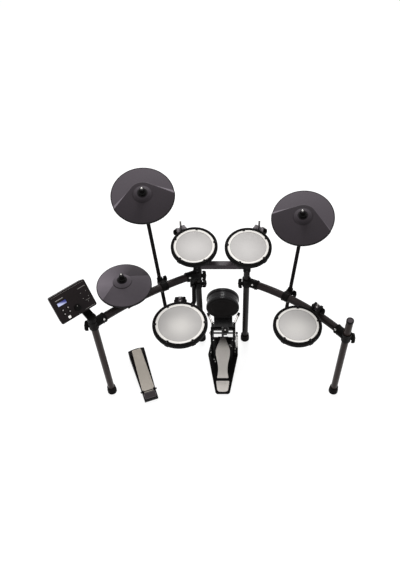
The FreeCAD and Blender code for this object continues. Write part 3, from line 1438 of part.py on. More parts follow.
def report_anchors():
    """Print the joint anchors and axes, in millimetres, for the record."""
    def show(name, point, direction):
        print("anchor %s %.3f %.3f %.3f axis %.6f %.6f %.6f" % (name, point.x, point.y, point.z,
              direction.x, direction.y, direction.z))
    show("left_wing", V(-leg_x, 0, 0), UP)
    show("right_wing", V(leg_x, 0, 0), UP)
    for name, stand in (("crash", crash_stand), ("ride", ride_stand), ("hihat", hihat_stand)):
        show(name + "_pole", stand.clamp, stand.dir)
        show(name + "_cymbal", stand.seat, stand.frame.Rotation.multVec(RIGHT))
    for name, pad in pads.items():
        show(name, pad.pin_point, pad.pin_dir)
    frame, hinge, across, back = module_frame()
    show("module", hinge, across)
    show("module_face", frame.Base, frame.Rotation.multVec(UP))
    show("value_dial", frame.multVec(dial_place), frame.Rotation.multVec(UP))
    show("footboard", V(0, -heel_hinge_back, heel_hinge_height), RIGHT)
    show("beater", V(0, -axle_back, axle_height), RIGHT)
    show("hat_footboard", hat_frame().multVec(UP * hat_hinge_height), hat_frame().Rotation.multVec(RIGHT))


build_rack_front()
build_pad_rods()
build_pads()
build_cymbals()
build_left_wing()
build_right_wing()
build_module()
build_kick_tower()
build_kick_pedal()
build_hat_pedal()
report_anchors()
os.makedirs("parts", exist_ok=True)
for name, shape in nodes.items():
    shape.exportStep("parts/%s.step" % name)
print("%d nodes" % len(nodes))
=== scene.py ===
"""Looks of an electronic drum kit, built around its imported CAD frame.

Sizes are in millimetres and turn into metres where a mesh is made. The frame is the part's own: the
origin lies on the floor under the crossbar, +X to the drummer's right, +Y away from the drummer, +Z up.
"""

import json
import logging
import math
from dataclasses import dataclass, replace
from enum import Enum
from functools import cache, cached_property
from typing import Optional, Sequence, Union

import bmesh
import bpy
import numpy as np
from mathutils import Matrix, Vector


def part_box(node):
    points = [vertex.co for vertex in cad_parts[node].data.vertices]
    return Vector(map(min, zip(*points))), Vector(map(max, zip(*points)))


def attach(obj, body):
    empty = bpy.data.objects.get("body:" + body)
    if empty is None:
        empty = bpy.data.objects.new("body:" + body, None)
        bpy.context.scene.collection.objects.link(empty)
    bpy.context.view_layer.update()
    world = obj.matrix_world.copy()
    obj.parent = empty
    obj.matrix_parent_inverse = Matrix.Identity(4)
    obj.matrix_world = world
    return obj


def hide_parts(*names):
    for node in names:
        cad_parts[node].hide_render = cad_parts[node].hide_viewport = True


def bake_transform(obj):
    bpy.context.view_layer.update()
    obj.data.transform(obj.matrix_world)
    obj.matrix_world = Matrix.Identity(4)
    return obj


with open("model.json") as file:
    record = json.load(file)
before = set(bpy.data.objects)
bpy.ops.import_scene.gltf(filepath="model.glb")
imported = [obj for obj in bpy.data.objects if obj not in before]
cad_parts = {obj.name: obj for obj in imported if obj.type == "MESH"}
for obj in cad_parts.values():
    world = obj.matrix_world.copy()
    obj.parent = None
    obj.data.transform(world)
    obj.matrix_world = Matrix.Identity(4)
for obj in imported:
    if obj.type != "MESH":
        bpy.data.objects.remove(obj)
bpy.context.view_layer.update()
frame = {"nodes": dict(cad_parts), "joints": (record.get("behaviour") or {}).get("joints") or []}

MM = 0.001
METRE = 1000.0
WELD = 2e-6
SLIVER = 1e-6
EASED_SHARE = 0.48
SIDES = (-1, 1)
WHITE = (1.0, 1.0, 1.0, 1.0)
UP = np.array((0.0, 0.0, 1.0))
RIGHT = np.array((1.0, 0.0, 0.0))
AWAY = np.array((0.0, 1.0, 0.0))
NEAR = -AWAY
LOG = logging.getLogger("drum_kit")

Node = bpy.types.Node
NodeTree = bpy.types.NodeTree
Material = bpy.types.Material
Socket = bpy.types.NodeSocket
Value = Union[float, Socket]
Inputs = dict[Union[int, str], object]
Colour = tuple[int, int, int]
Pair = tuple[float, float]
Triple = tuple[float, float, float]


def unit(vector: Sequence[float]) -> np.ndarray:
    """Vectors scaled to length one along the last axis."""
    vector = np.asarray(vector, float)
    return vector / np.linalg.norm(vector, axis=-1, keepdims=True)


def around(count: int) -> np.ndarray:
    """Angles evenly round one turn."""
    return np.linspace(0, 2 * np.pi, count, endpoint=False)


def joint_point(name: str) -> np.ndarray:
    """Place of a joint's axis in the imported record, in millimetres."""
    found = next(joint for joint in frame["joints"] if joint["name"] == name)
    return np.array(found["pos_m"]) * METRE


def leaned(degrees: float) -> np.ndarray:
    """Upward direction leaned towards the drummer."""
    turn = math.radians(degrees)
    return np.array((0.0, -math.sin(turn), math.cos(turn)))


def node_box(name: str) -> tuple[np.ndarray, np.ndarray]:
    """Lowest and highest corner of a CAD node, in millimetres."""
    low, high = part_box(name)
    return np.array(low) * METRE, np.array(high) * METRE


@dataclass(frozen=True)
class Place:
    """A local frame: an origin and three square axes, kept as rows."""

    origin: np.ndarray
    axes: np.ndarray

    @staticmethod
    def on(origin: Sequence[float], z_dir: Sequence[float], x_dir: Sequence[float] = RIGHT) -> "Place":
        """Frame whose z runs along z_dir and whose x lies as near x_dir as it can.

        Args:
            origin: the frame's own zero.
            z_dir: direction of its z axis.
            x_dir: direction that its x axis leans to.
        Returns:
            The frame.
        """
        z_axis = unit(z_dir)
        y_axis = unit(np.cross(z_axis, x_dir))
        return Place(np.asarray(origin, float), np.stack((np.cross(y_axis, z_axis), y_axis, z_axis)))

    def world(self, local: Sequence[float]) -> np.ndarray:
        """Local points in the part's frame: origin plus each coordinate times its axis."""
        return self.origin + np.asarray(local, float) @ self.axes

    def shifted(self, x: float = 0.0, y: float = 0.0, z: float = 0.0) -> "Place":
        """The same axes with the zero moved along them."""
        return Place(self.world((x, y, z)), self.axes)

    def spun(self, degrees: float) -> "Place":
        """The frame turned anticlockwise about its own z.

        Args:
            degrees: how far.
        Returns:
            The turned frame.
        """
        turn = math.radians(degrees)
        x_axis = self.axes[0] * math.cos(turn) + self.axes[1] * math.sin(turn)
        return Place.on(self.origin, self.axes[2], x_axis)

    def facing(self, z_local: Sequence[float], x_local: Sequence[float]) -> "Place":
        """A frame at the same zero whose z and x follow local directions."""
        return Place.on(self.origin, np.asarray(z_local) @ self.axes, np.asarray(x_local) @ self.axes)


@dataclass(frozen=True)
class Patch:
    """A mesh still held as arrays: points, four-cornered faces and, on some, a tone at each point."""

    points: np.ndarray
    faces: np.ndarray
    tone: Optional[np.ndarray] = None

    @staticmethod
    def grid(points: np.ndarray, close_rows: bool = False, close_columns: bool = True) -> "Patch":
        """Faces between neighbours of a grid of points.

        Args:
            points: rows by columns by three.
            close_rows: whether the last row meets the first.
            close_columns: whether the last column meets the first.
        Returns:
            The patch.
        """
        rows, columns = points.shape[:2]
        row = np.arange(rows if close_rows else rows - 1)[:, None]
        column = np.arange(columns if close_columns else columns - 1)[None, :]
        low, high = row * columns, (row + 1) % rows * columns
        after = (column + 1) % columns
        corners = np.broadcast_arrays(low + column, low + after, high + after, high + column)
        return Patch(points.reshape(-1, 3), np.stack(corners, axis=-1).reshape(-1, 4))

    def at(self, *places: Place) -> "Patch":
        """Copies of the patch, one in each local frame.

        Args:
            places: the frames.
        Returns:
            The copies as one patch.
        """
        points = np.concatenate([place.world(self.points) for place in places])
        shift = np.arange(len(places))[:, None, None] * len(self.points)
        tone = None if self.tone is None else np.tile(self.tone, len(places))
        return Patch(points, (self.faces[None] + shift).reshape(-1, 4), tone)

    def __add__(self, other: "Patch") -> "Patch":
        """Both patches as one."""
        faces = np.concatenate((self.faces, other.faces + len(self.points)))
        return Patch(np.concatenate((self.points, other.points)), faces)


def rounded(corners: Sequence, radius: float, steps: int = 5, closed: bool = False) -> np.ndarray:
    """Corner line with each corner eased.

    A corner c with eased ends a and b becomes (1-t)^2 a + 2t(1-t) c + t^2 b for t from 0 to 1.

    Args:
        corners: corners along the first axis, coordinates along the last, any axes between.
        radius: distance from a corner to its eased ends.
        steps: points on each eased corner.
        closed: whether the line runs back to its start.
    Returns:
        The eased line, along the first axis.
    """
    middle = np.asarray(corners, float)

    def toward(goal: np.ndarray) -> np.ndarray:
        """Points a little way from each corner towards its neighbour.

        Args:
            goal: the neighbours.
        Returns:
            The points.
        """
        gap = goal - middle
        length = np.maximum(np.linalg.norm(gap, axis=-1, keepdims=True), 1e-9)
        return middle + gap * (np.minimum(radius, EASED_SHARE * length) / length)

    begin, end = toward(np.roll(middle, 1, axis=0)), toward(np.roll(middle, -1, axis=0))
    share = np.linspace(0, 1, steps).reshape((1, steps) + (1,) * (middle.ndim - 1))
    arcs = (1 - share) ** 2 * begin[:, None] + share**2 * end[:, None]
    arcs = arcs + 2 * share * (1 - share) * middle[:, None]
    if closed:
        return arcs.reshape((-1,) + middle.shape[1:])
    inner = arcs[1:-1].reshape((-1,) + middle.shape[1:])
    return np.concatenate((middle[:1], inner, middle[-1:]))


def turned(profile: np.ndarray, segments: int = 48, closed: bool = False, ripple: float = 0.0,
           lobes: int = 0) -> Patch:
    """Profile carried round local z: x = r cos a, y = r sin a, with r (1 + ripple cos(lobes a)).

    Args:
        profile: (radius, height) points.
        segments: steps round the axis.
        closed: whether the profile runs back to its start.
        ripple: share by which lobes swell the radius.
        lobes: number of lobes round the axis.
    Returns:
        The turned patch.
    """
    angle = around(segments)
    reach = profile[:, 0, None] * (1 + ripple * np.cos(lobes * angle))
    height = np.broadcast_to(profile[:, 1, None], reach.shape)
    points = np.stack((reach * np.cos(angle), reach * np.sin(angle), height), axis=-1)
    return Patch.grid(points, close_rows=closed)


def ring_outline(half_x: float, half_y: float, count: int = 16, power: float = 2.0) -> np.ndarray:
    """Superellipse: |x / half_x|^power + |y / half_y|^power = 1, anticlockwise.

    Args:
        half_x: half its width.
        half_y: half its height.
        count: number of points.
        power: how square it is, 2 for an ellipse.
    Returns:
        The (x, y) points.
    """
    angle = around(count)
    across, rise = np.cos(angle), np.sin(angle)
    ease = 2 / power
    return np.stack((half_x * np.sign(across) * np.abs(across) ** ease,
                     half_y * np.sign(rise) * np.abs(rise) ** ease), axis=-1)


def box_outline(width: float, length: float, radius: float, steps: int = 5) -> np.ndarray:
    """Rectangle about zero with eased corners, anticlockwise."""
    x, y = width / 2, length / 2
    return rounded([(-x, -y), (x, -y), (x, y), (-x, y)], radius, steps, closed=True)


def lofted(rings: np.ndarray) -> Patch:
    """Rings of points joined in order, each end closed at its ring's middle.

    Args:
        rings: rings by points by three.
    Returns:
        The patch.
    """
    first = np.broadcast_to(rings[:1].mean(axis=1, keepdims=True), rings[:1].shape)
    last = np.broadcast_to(rings[-1:].mean(axis=1, keepdims=True), rings[-1:].shape)
    return Patch.grid(np.concatenate((first, rings, last)))


def swept(path: np.ndarray, section: np.ndarray, up: np.ndarray = UP, closed: bool = False) -> Patch:
    """Section carried along a path: p + s side + r rise, with side = run x up and rise = side x run.

    Args:
        path: points of the line.
        section: (side, rise) points.
        up: direction that the section's rise leans to.
        closed: whether the path runs back to its start.
    Returns:
        The swept patch, with closed ends on an open path.
    """
    run = np.roll(path, -1, axis=0) - np.roll(path, 1, axis=0) if closed else np.gradient(path, axis=0)
    side = unit(np.cross(unit(run), up))
    rise = np.cross(side, unit(run))
    rings = path[:, None] + section[None, :, :1] * side[:, None] + section[None, :, 1:] * rise[:, None]
    return Patch.grid(rings, close_rows=True) if closed else lofted(rings)


def plate(outline: np.ndarray, profile: Sequence[Pair]) -> Patch:
    """Outline carried through (inset, height) steps: outline minus inset times its outward normal.

    Args:
        outline: closed anticlockwise (x, y) points.
        profile: steps from the lower face to the upper one.
    Returns:
        The plate, closed below and above.
    """
    run = np.roll(outline, -1, axis=0) - np.roll(outline, 1, axis=0)
    outward = unit(np.stack((run[:, 1], -run[:, 0]), axis=-1))
    steps = np.asarray(profile, float)
    flat = outline[None] - steps[:, :1, None] * outward[None]
    height = np.broadcast_to(steps[:, 1, None, None], flat.shape[:2] + (1,))
    return lofted(np.concatenate((flat, height), axis=-1))


def slab(outline: np.ndarray, low: float, high: float, ease: float) -> Patch:
    """Plate between two heights with its edges eased."""
    corners = [(ease * 1.25, low), (0, low), (0, high), (ease * 1.25, high)]
    return plate(outline, rounded(corners, ease, 4))


def lathed(corners: Sequence, ease: float, steps: int = 5, segments: int = 48, closed: bool = False) -> Patch:
    """Line of (radius, height) corners, eased and carried round local z."""
    return turned(rounded(corners, ease, steps, closed), segments, closed)


def ring_band(radius: float, low: float, high: float, thickness: float, ease: float,
              segments: int = 48) -> Patch:
    """Band round local z, its section a rectangle with eased corners.

    Args:
        radius: its outer radius.
        low: height of its lower face.
        high: height of its upper face.
        thickness: width of its section.
        ease: how far its corners are eased.
        segments: steps round the axis.
    Returns:
        The band.
    """
    inner = radius - thickness
    corners = [(inner, low), (radius, low), (radius, high), (inner, high)]
    return lathed(corners, ease, 4, segments, closed=True)


def stub(radius: float, low: float, high: float, crown: float = 0.0, ease: float = 0.8, steps: int = 4,
         segments: int = 40) -> Patch:
    """Round stub between two heights, its top crowned towards the middle."""
    return lathed([(0, low), (radius, low), (radius, high), (0, high + crown)], ease, steps, segments)


def bead(outline: np.ndarray, side: float, rise: float) -> Patch:
    """Bead along a closed (x, y) outline, its section a superellipse of half-sizes side and rise."""
    path = np.concatenate((outline, np.zeros((len(outline), 1))), axis=1)
    return swept(path, ring_outline(side, rise, 12, 3.0), UP, closed=True)


def screw_head(radius: float, height: float) -> Patch:
    """Round screw head with a round drive sunk in it.

    Args:
        radius: its radius.
        height: its height.
    Returns:
        The head, standing on its seat.
    """
    socket, floor = 0.52 * radius, 0.4 * height
    corners = [(0, 0), (radius, 0), (radius, 0.6 * height), (0.78 * radius, height), (socket, height),
               (socket, floor), (0, floor)]
    return lathed(corners, 0.18 * height, 3, 24)


class Pattern(Enum):
    """What a finish shows besides its grain."""

    PLAIN = "plain"
    WEAVE = "weave"
    RINGS = "rings"
    BRUSHED = "brushed"
    GLOW = "glow"


class Tree:
    """Adds nodes to one node tree and wires them."""

    def __init__(self, tree: NodeTree) -> None:
        """Start from an empty tree."""
        self.tree = tree
        tree.nodes.clear()

    def feed(self, target: Socket, source: object) -> None:
        """Link a socket, or set a plain value on it."""
        if isinstance(source, Socket):
            self.tree.links.new(source, target)
        else:
            target.default_value = source

    def fill(self, node: Node, given: Inputs) -> None:
        """Link or set several inputs of a node."""
        for name, value in given.items():
            self.feed(node.inputs[name], value)

    def node(self, kind: str, given: Optional[Inputs] = None, **settings: object) -> Node:
        """A new node with some of its properties and inputs set.

        Args:
            kind: the node's type.
            given: plain values or links by input.
            settings: properties by name.
        Returns:
            The node.
        """
        made = self.tree.nodes.new(kind)
        for name, value in settings.items():
            setattr(made, name, value)
        self.fill(made, given or {})
        return made

    def math(self, operation: str, *values: Value) -> Socket:
        """Result of one Math node of up to three values, not clamped."""
        return self.node("ShaderNodeMath", dict(enumerate(values)), operation=operation).outputs[0]

    def ramp(self, value: Value, low: float, high: float, to_low: float = 0.0,
             to_high: float = 1.0) -> Socket:
        """Smooth step of a value from one span to another."""
        given = dict(enumerate((value, low, high, to_low, to_high)))
        return self.node("ShaderNodeMapRange", given, interpolation_type="SMOOTHSTEP").outputs[0]

    def mix(self, share: Value, first: object, second: object) -> Socket:
        """Colour between two colours."""
        return self.node("ShaderNodeMix", {0: share, 6: first, 7: second}, data_type="RGBA").outputs[2]

    def noise(self, vector: Socket, scale: Value, detail: float = 3.0) -> Socket:
        """Noise value on a vector, from 0 to 1."""
        given = {"Vector": vector, "Scale": scale, "Detail": detail}
        return self.node("ShaderNodeTexNoise", given).outputs["Fac"]

    def split(self, vector: Socket) -> list[Socket]:
        """The three parts of a vector."""
        return list(self.node("ShaderNodeSeparateXYZ", {0: vector}).outputs)

    def centred(self, vector: Socket, place: Optional[Place]) -> Socket:
        """Object coordinates moved into a local frame where one is given, in metres.

        Args:
            vector: the coordinates.
            place: the frame, if any.
        Returns:
            The moved coordinates.
        """
        if place is None:
            return vector
        turn = Matrix(place.axes.T.tolist()).to_euler()
        given = {"Vector": vector, "Location": tuple(place.origin * MM), "Rotation": turn}
        return self.node("ShaderNodeMapping", given, vector_type="TEXTURE").outputs[0]

    def group(self, effect: NodeTree, **values: object) -> bpy.types.bpy_prop_collection:
        """Outputs of a shared effect with its inputs set or linked."""
        return self.node("ShaderNodeGroup", values, node_tree=effect).outputs


class Effects:
    """Shader node groups that the finishes share, each built once."""

    _vectors = ("Vector", "Normal")

    @classmethod
    def _start(cls, name: str, inputs: Sequence[str], outputs: Sequence[str]) -> tuple[Tree, dict, dict]:
        """An empty group with its sockets.

        Args:
            name: the group's name.
            inputs: names of its inputs.
            outputs: names of its outputs.
        Returns:
            The tree, its input sockets and its output sockets by name.
        """
        made = bpy.data.node_groups.new(name, "ShaderNodeTree")
        for way, labels in (("INPUT", inputs), ("OUTPUT", outputs)):
            for label in labels:
                kind = "NodeSocketVector" if label in cls._vectors else "NodeSocketFloat"
                made.interface.new_socket(label, in_out=way, socket_type=kind)
        tree = Tree(made)
        sources = tree.node("NodeGroupInput").outputs
        targets = tree.node("NodeGroupOutput").inputs
        return tree, {label: sources[label] for label in inputs}, {label: targets[label] for label in outputs}

    @classmethod
    @cache
    def grain(cls) -> NodeTree:
        """Fine and coarse noise: the surface's grain and its slow change of shade.

        Returns:
            The node group.
        """
        tree, given, result = cls._start("grain", ("Vector", "Fine", "Coarse"), ("Grain", "Shade"))
        tree.feed(result["Grain"], tree.noise(given["Vector"], given["Fine"], 2.0))
        slow = tree.noise(given["Vector"], given["Coarse"], 4.0)
        tree.feed(result["Shade"], tree.ramp(slow, 0.3, 0.7))
        return tree.tree

    @classmethod
    @cache
    def edge_wear(cls) -> NodeTree:
        """Rounded edge normal, and a mask of worn edges.

        The mask is how far that normal leaves the face, broken by noise.

        Returns:
            The node group.
        """
        tree, given, result = cls._start("edge_wear", ("Vector", "Radius", "Amount"), ("Mask", "Normal"))
        bevel = tree.node("ShaderNodeBevel", {"Radius": given["Radius"]}, samples=4).outputs[0]
        facing = tree.node("ShaderNodeNewGeometry").outputs["Normal"]
        lean = tree.node("ShaderNodeVectorMath", {0: bevel, 1: facing}, operation="DOT_PRODUCT")
        turned_away = tree.ramp(lean.outputs["Value"], 0.98, 0.80)
        broken = tree.ramp(tree.noise(given["Vector"], 160.0), 0.35, 0.65)
        worn = tree.math("MULTIPLY", turned_away, broken)
        tree.feed(result["Mask"], tree.math("MULTIPLY", worn, given["Amount"]))
        tree.feed(result["Normal"], bevel)
        return tree.tree

    @classmethod
    @cache
    def dust(cls) -> NodeTree:
        """Mask of fine dust: faces that look up, broken by noise.

        Returns:
            The node group.
        """
        tree, given, result = cls._start("dust", ("Vector", "Amount"), ("Mask",))
        facing = tree.node("ShaderNodeNewGeometry").outputs["Normal"]
        upward = tree.ramp(tree.split(facing)[2], 0.35, 0.95)
        specks = tree.ramp(tree.noise(given["Vector"], 420.0, 6.0), 0.42, 0.75)
        settled = tree.math("MULTIPLY", upward, specks)
        tree.feed(result["Mask"], tree.math("MULTIPLY", settled, given["Amount"]))
        return tree.tree

    @classmethod
    @cache
    def weave(cls) -> NodeTree:
        """Square mesh of threads.

        Height is the larger of |sin| along the two ways, with holes where both are small.

        Returns:
            The node group.
        """
        tree, given, result = cls._start("weave", ("Vector", "Threads"), ("Height", "Hole"))
        along, across, _ = tree.split(given["Vector"])
        waves = [tree.math("ABSOLUTE", tree.math("SINE", tree.math("MULTIPLY", way, given["Threads"])))
                 for way in (along, across)]
        height = tree.math("MAXIMUM", *waves)
        tree.feed(result["Height"], height)
        tree.feed(result["Hole"], tree.ramp(height, 0.55, 0.2))
        return tree.tree


def linear(colour: Colour) -> tuple[float, float, float, float]:
    """Screen colour from 0 to 255 as linear light with full alpha.

    Args:
        colour: red, green and blue.
    Returns:
        Red, green, blue and alpha.
    """
    share = np.array(colour) / 255
    light = np.where(share <= 0.04045, share / 12.92, ((share + 0.055) / 1.055) ** 2.4)
    return tuple(float(part) for part in light) + (1.0,)


def principled(title: str) -> tuple[Material, Tree, Node]:
    """A new material, its tree and the one shader in it.

    Args:
        title: the material's name.
    Returns:
        The material, its tree and its shader.
    """
    made = bpy.data.materials.new(title)
    made.use_nodes = True
    tree = Tree(made.node_tree)
    shader = tree.node("ShaderNodeBsdfPrincipled")
    tree.node("ShaderNodeOutputMaterial", {"Surface": shader.outputs[0]})
    return made, tree, shader


@dataclass(frozen=True)
class Finish:
    """A surface finish: its colours, gloss, grain, wear and pattern.

    Grain and coarse are noise scales. Edge, span and threads are lengths in millimetres.
    """

    name: str
    colour: Colour
    shade: Colour
    roughness: Pair = (0.4, 0.55)
    metallic: float = 0.0
    specular: float = 0.35
    grain: float = 900.0
    coarse: float = 9.0
    bump: float = 0.12
    edge: float = 0.7
    wear: float = 0.0
    worn: Colour = (120, 116, 112)
    dust: float = 0.0
    dusty: Colour = (150, 146, 142)
    sheen: float = 0.0
    pattern: Pattern = Pattern.PLAIN
    second: Colour = (0, 0, 0)
    span: Pair = (0.0, 1.0)
    threads: float = 1.2
    emission: float = 0.0
    toned: bool = False
    light: Colour = (0, 0, 0)
    deep: Colour = (0, 0, 0)

    def material(self, place: Optional[Place] = None, key: str = "") -> Material:
        """The finish as a material, made once for each key.

        Args:
            place: frame that a round or woven pattern is centred on.
            key: tells the materials of several places apart.
        Returns:
            The material.
        """
        title = "finish_" + self.name + ("_" + key if key else "")
        found = bpy.data.materials.get(title)
        if found:
            return found
        made, tree, shader = principled(title)
        vector = tree.node("ShaderNodeTexCoord").outputs["Object"]
        local = tree.centred(vector, place)
        grain = tree.group(Effects.grain(), Vector=vector, Fine=self.grain, Coarse=self.coarse)
        wear = tree.group(Effects.edge_wear(), Vector=vector, Radius=self.edge * MM, Amount=self.wear)
        dust = tree.group(Effects.dust(), Vector=vector, Amount=self.dust)
        colour = tree.mix(grain["Shade"], linear(self.colour), linear(self.shade))
        colour, height = self._patterned(tree, local, colour, grain["Grain"])
        # The tone attribute blends the colour towards light above zero and towards deep below it; on the
        # cymbal covers and the kick pedal's board it carries painted light and painted shade.
        if self.toned:
            tone = tree.node("ShaderNodeAttribute", attribute_name="tone").outputs["Fac"]
            colour = tree.mix(tree.math("MAXIMUM", tone, 0.0), colour, linear(self.light))
            below = tree.math("MULTIPLY", tone, -1.0)
            colour = tree.mix(tree.math("MAXIMUM", below, 0.0), colour, linear(self.deep))
        colour = tree.mix(wear["Mask"], colour, linear(self.worn))
        colour = tree.mix(dust["Mask"], colour, linear(self.dusty))
        bump = tree.node("ShaderNodeBump", {"Strength": self.bump, "Distance": MM, "Height": height,
                                            "Normal": wear["Normal"]})
        tree.fill(shader, {"Base Color": colour, "Normal": bump.outputs[0], "Metallic": self.metallic,
                           "Roughness": tree.ramp(grain["Grain"], 0.25, 0.75, *self.roughness),
                           "Specular IOR Level": self.specular, "Sheen Weight": self.sheen})
        if self.emission:
            tree.fill(shader, {"Emission Color": colour, "Emission Strength": self.emission})
        return made

    def _patterned(self, tree: Tree, local: Socket, colour: Socket, height: Socket) -> tuple[Socket, Socket]:
        """Colour and bump height with the finish's pattern laid over the grain.

        Args:
            tree: the material's tree.
            local: coordinates in the pattern's frame.
            colour: colour so far.
            height: bump height so far.
        Returns:
            The colour and the height.
        """
        if self.pattern is Pattern.PLAIN:
            return colour, height
        along, across, _ = tree.split(local)
        reach = tree.math("SQRT", tree.math("ADD", tree.math("MULTIPLY", along, along),
                                            tree.math("MULTIPLY", across, across)))
        inside = tree.ramp(reach, self.span[1] * MM, self.span[0] * MM)
        if self.pattern is Pattern.GLOW:
            return tree.mix(inside, colour, linear(self.second)), height
        if self.pattern is Pattern.WEAVE:
            weave = tree.group(Effects.weave(), Vector=local, Threads=math.pi / (self.threads * MM))
            # glow: a painted highlight, the head paler towards its middle.
            glow = tree.mix(inside, colour, linear(self.second))
            # Holes between the threads darken towards the finish's worn colour.
            dark = tree.math("MULTIPLY", weave["Hole"], 0.35)
            return tree.mix(dark, glow, linear(self.worn)), weave["Height"]
        if self.pattern is Pattern.RINGS:
            groove = tree.math("SINE", tree.math("MULTIPLY", reach, 2 * math.pi / (self.threads * MM)))
            return colour, tree.math("ADD", height, tree.math("MULTIPLY", groove, 0.2))
        streak = tree.node("ShaderNodeMapping", {"Vector": local, "Scale": (1.0, 0.03, 1.0)})
        lines = tree.noise(streak.outputs[0], 2600.0, 4.0)
        return tree.mix(tree.ramp(lines, 0.35, 0.7), colour, linear(self.second)), lines


POWDER_COAT = Finish("powder_coat", (36, 31, 30), (29, 25, 24), (0.18, 0.3), specular=0.09, grain=1400,
                     bump=0.05, wear=0.2, worn=(78, 72, 70), dust=0.04)
# Lighter copies of the same powder coat for the outer legs and the arms: painted light, lit copies of one
# material.
LIT_LEG_COAT = replace(POWDER_COAT, name="leg_coat", colour=(58, 47, 44), shade=(49, 39, 37))
LIT_ARM_COAT = replace(POWDER_COAT, name="arm_coat", colour=(48, 42, 42), shade=(40, 35, 35))
BAR_COAT = Finish("bar_coat", (76, 69, 74), (66, 60, 64), (0.3, 0.44), specular=0.14, grain=1400, bump=0.1,
                  wear=0.35, worn=(116, 110, 112), dust=0.10)
POLE_COAT = Finish("pole_coat", (24, 21, 22), (18, 16, 17), (0.16, 0.28), specular=0.04, grain=1500,
                   bump=0.04, wear=0.2, worn=(86, 82, 82), dust=0.03)
NYLON = Finish("moulded_nylon", (15, 13, 13), (10, 9, 9), (0.36, 0.5), specular=0.05, grain=1800, bump=0.2,
               edge=1.0, wear=0.2, worn=(64, 60, 60), dust=0.04)
HOLDER_GREY = Finish("holder_grey", (112, 107, 110), (96, 91, 94), (0.36, 0.5), specular=0.2, grain=1500,
                     bump=0.1, edge=0.9, wear=0.3, worn=(146, 142, 143), dust=0.05)
FOOT_RUBBER = Finish("foot_rubber", (20, 18, 18), (15, 13, 13), (0.6, 0.8), specular=0.06, grain=1200,
                     bump=0.25, dust=0.08, dusty=(92, 88, 86))
ROD_STEEL = Finish("rod_steel", (186, 183, 180), (160, 157, 155), (0.22, 0.36), metallic=0.85, grain=700,
                   bump=0.04, pattern=Pattern.BRUSHED, second=(140, 137, 136))
BRIGHT_STEEL = Finish("bright_steel", (222, 220, 216), (196, 194, 191), (0.12, 0.24), metallic=1.0, grain=500,
                      bump=0.03)
DARK_STEEL = Finish("dark_steel", (58, 56, 58), (42, 40, 42), (0.25, 0.4), metallic=0.6, specular=0.2,
                    grain=700, bump=0.05, wear=0.4, worn=(130, 128, 126))
CYMBAL_CORE = Finish("cymbal_core", (24, 22, 24), (18, 17, 18), (0.5, 0.65), specular=0.12, grain=1500,
                     bump=0.25)
# Tones blend the rubber towards light and towards deep. They carry the plain part's own lighter colour and
# the dark rim, and also painted sheen across the plain part, a painted highlight on the ramps, painted light
# and shade on the bell's side and painted shade in the crease at the bell's foot.
CYMBAL_RUBBER = Finish("cymbal_rubber", (40, 35, 39), (34, 30, 33), (0.46, 0.6), specular=0.12, grain=1600,
                       coarse=5.0, bump=0.14, dust=0.05, dusty=(112, 108, 112), pattern=Pattern.RINGS,
                       threads=2.2, toned=True, light=(118, 111, 118), deep=(12, 11, 12))
PAD_SHELL = Finish("pad_shell", (14, 12, 12), (9, 8, 8), (0.4, 0.55), specular=0.06, grain=1700, bump=0.18,
                   edge=1.0, wear=0.15, worn=(66, 62, 62), dust=0.04)
HOOP_RUBBER = Finish("hoop_rubber", (9, 8, 8), (6, 5, 5), (0.45, 0.62), specular=0.06, grain=1700, bump=0.15,
                     dust=0.03, dusty=(60, 57, 57))
# second is a painted highlight: the head pales towards it in its middle, within span.
MESH_HEAD = Finish("mesh_head", (188, 185, 183), (181, 178, 176), (0.6, 0.8), specular=0.15, grain=2400,
                   bump=0.5, worn=(116, 114, 112), sheen=0.15, pattern=Pattern.WEAVE, second=(218, 215, 211),
                   span=(4.0, 104.0))
# Copies of the mesh head for the toms and the floor tom, each with its own brightness and strength of the
# painted highlight: lit copies of one material.
TOM_MESH = replace(MESH_HEAD, name="tom_mesh", colour=(193, 190, 188), shade=(187, 184, 182),
                   second=(206, 203, 201))
FLOOR_MESH = replace(MESH_HEAD, name="floor_mesh", colour=(198, 195, 193), shade=(192, 189, 187),
                     second=(226, 223, 219))
HEAD_COLLAR = Finish("head_collar", (236, 233, 228), (229, 226, 221), (0.4, 0.55), specular=0.2, grain=2200,
                     bump=0.1)
PALE_TRIM = Finish("pale_trim", (150, 146, 144), (128, 124, 123), (0.3, 0.42), metallic=0.6, grain=1200,
                   bump=0.05)
CASE_PLASTIC = Finish("case_plastic", (36, 30, 31), (29, 24, 25), (0.4, 0.54), specular=0.1, grain=2200,
                      bump=0.16, edge=0.9, wear=0.2, worn=(84, 80, 79), dust=0.04)
NUT_PLASTIC = Finish("nut_plastic", (12, 11, 11), (8, 7, 7), (0.36, 0.5), specular=0.1, grain=2000, bump=0.12)
DIAL_PLASTIC = Finish("dial_plastic", (17, 15, 15), (12, 11, 11), (0.38, 0.5), specular=0.07, grain=2000,
                      bump=0.1, wear=0.3, worn=(80, 76, 75))
BUTTON_GREY = Finish("button_grey", (176, 170, 168), (158, 153, 151), (0.35, 0.5), grain=2200, bump=0.06)
PRINT_GREY = Finish("print_grey", (176, 171, 168), (160, 156, 153), (0.5, 0.6), grain=2600, bump=0.03)
LIT_WHITE = Finish("lit_white", (246, 244, 240), (232, 231, 228), (0.3, 0.4), grain=2200, bump=0.02,
                   emission=0.45)
KICK_PLASTIC = Finish("kick_plastic", (17, 15, 17), (12, 10, 12), (0.22, 0.3), specular=0.18, grain=1600,
                      bump=0.04, edge=1.0, wear=0.1, worn=(60, 58, 60), dust=0.02, dusty=(72, 70, 74))
KICK_RUBBER = Finish("kick_rubber", (24, 21, 21), (18, 16, 16), (0.6, 0.78), specular=0.08, grain=1800,
                     bump=0.3, pattern=Pattern.GLOW, second=(20, 17, 17), span=(60.0, 66.0), sheen=0.03)
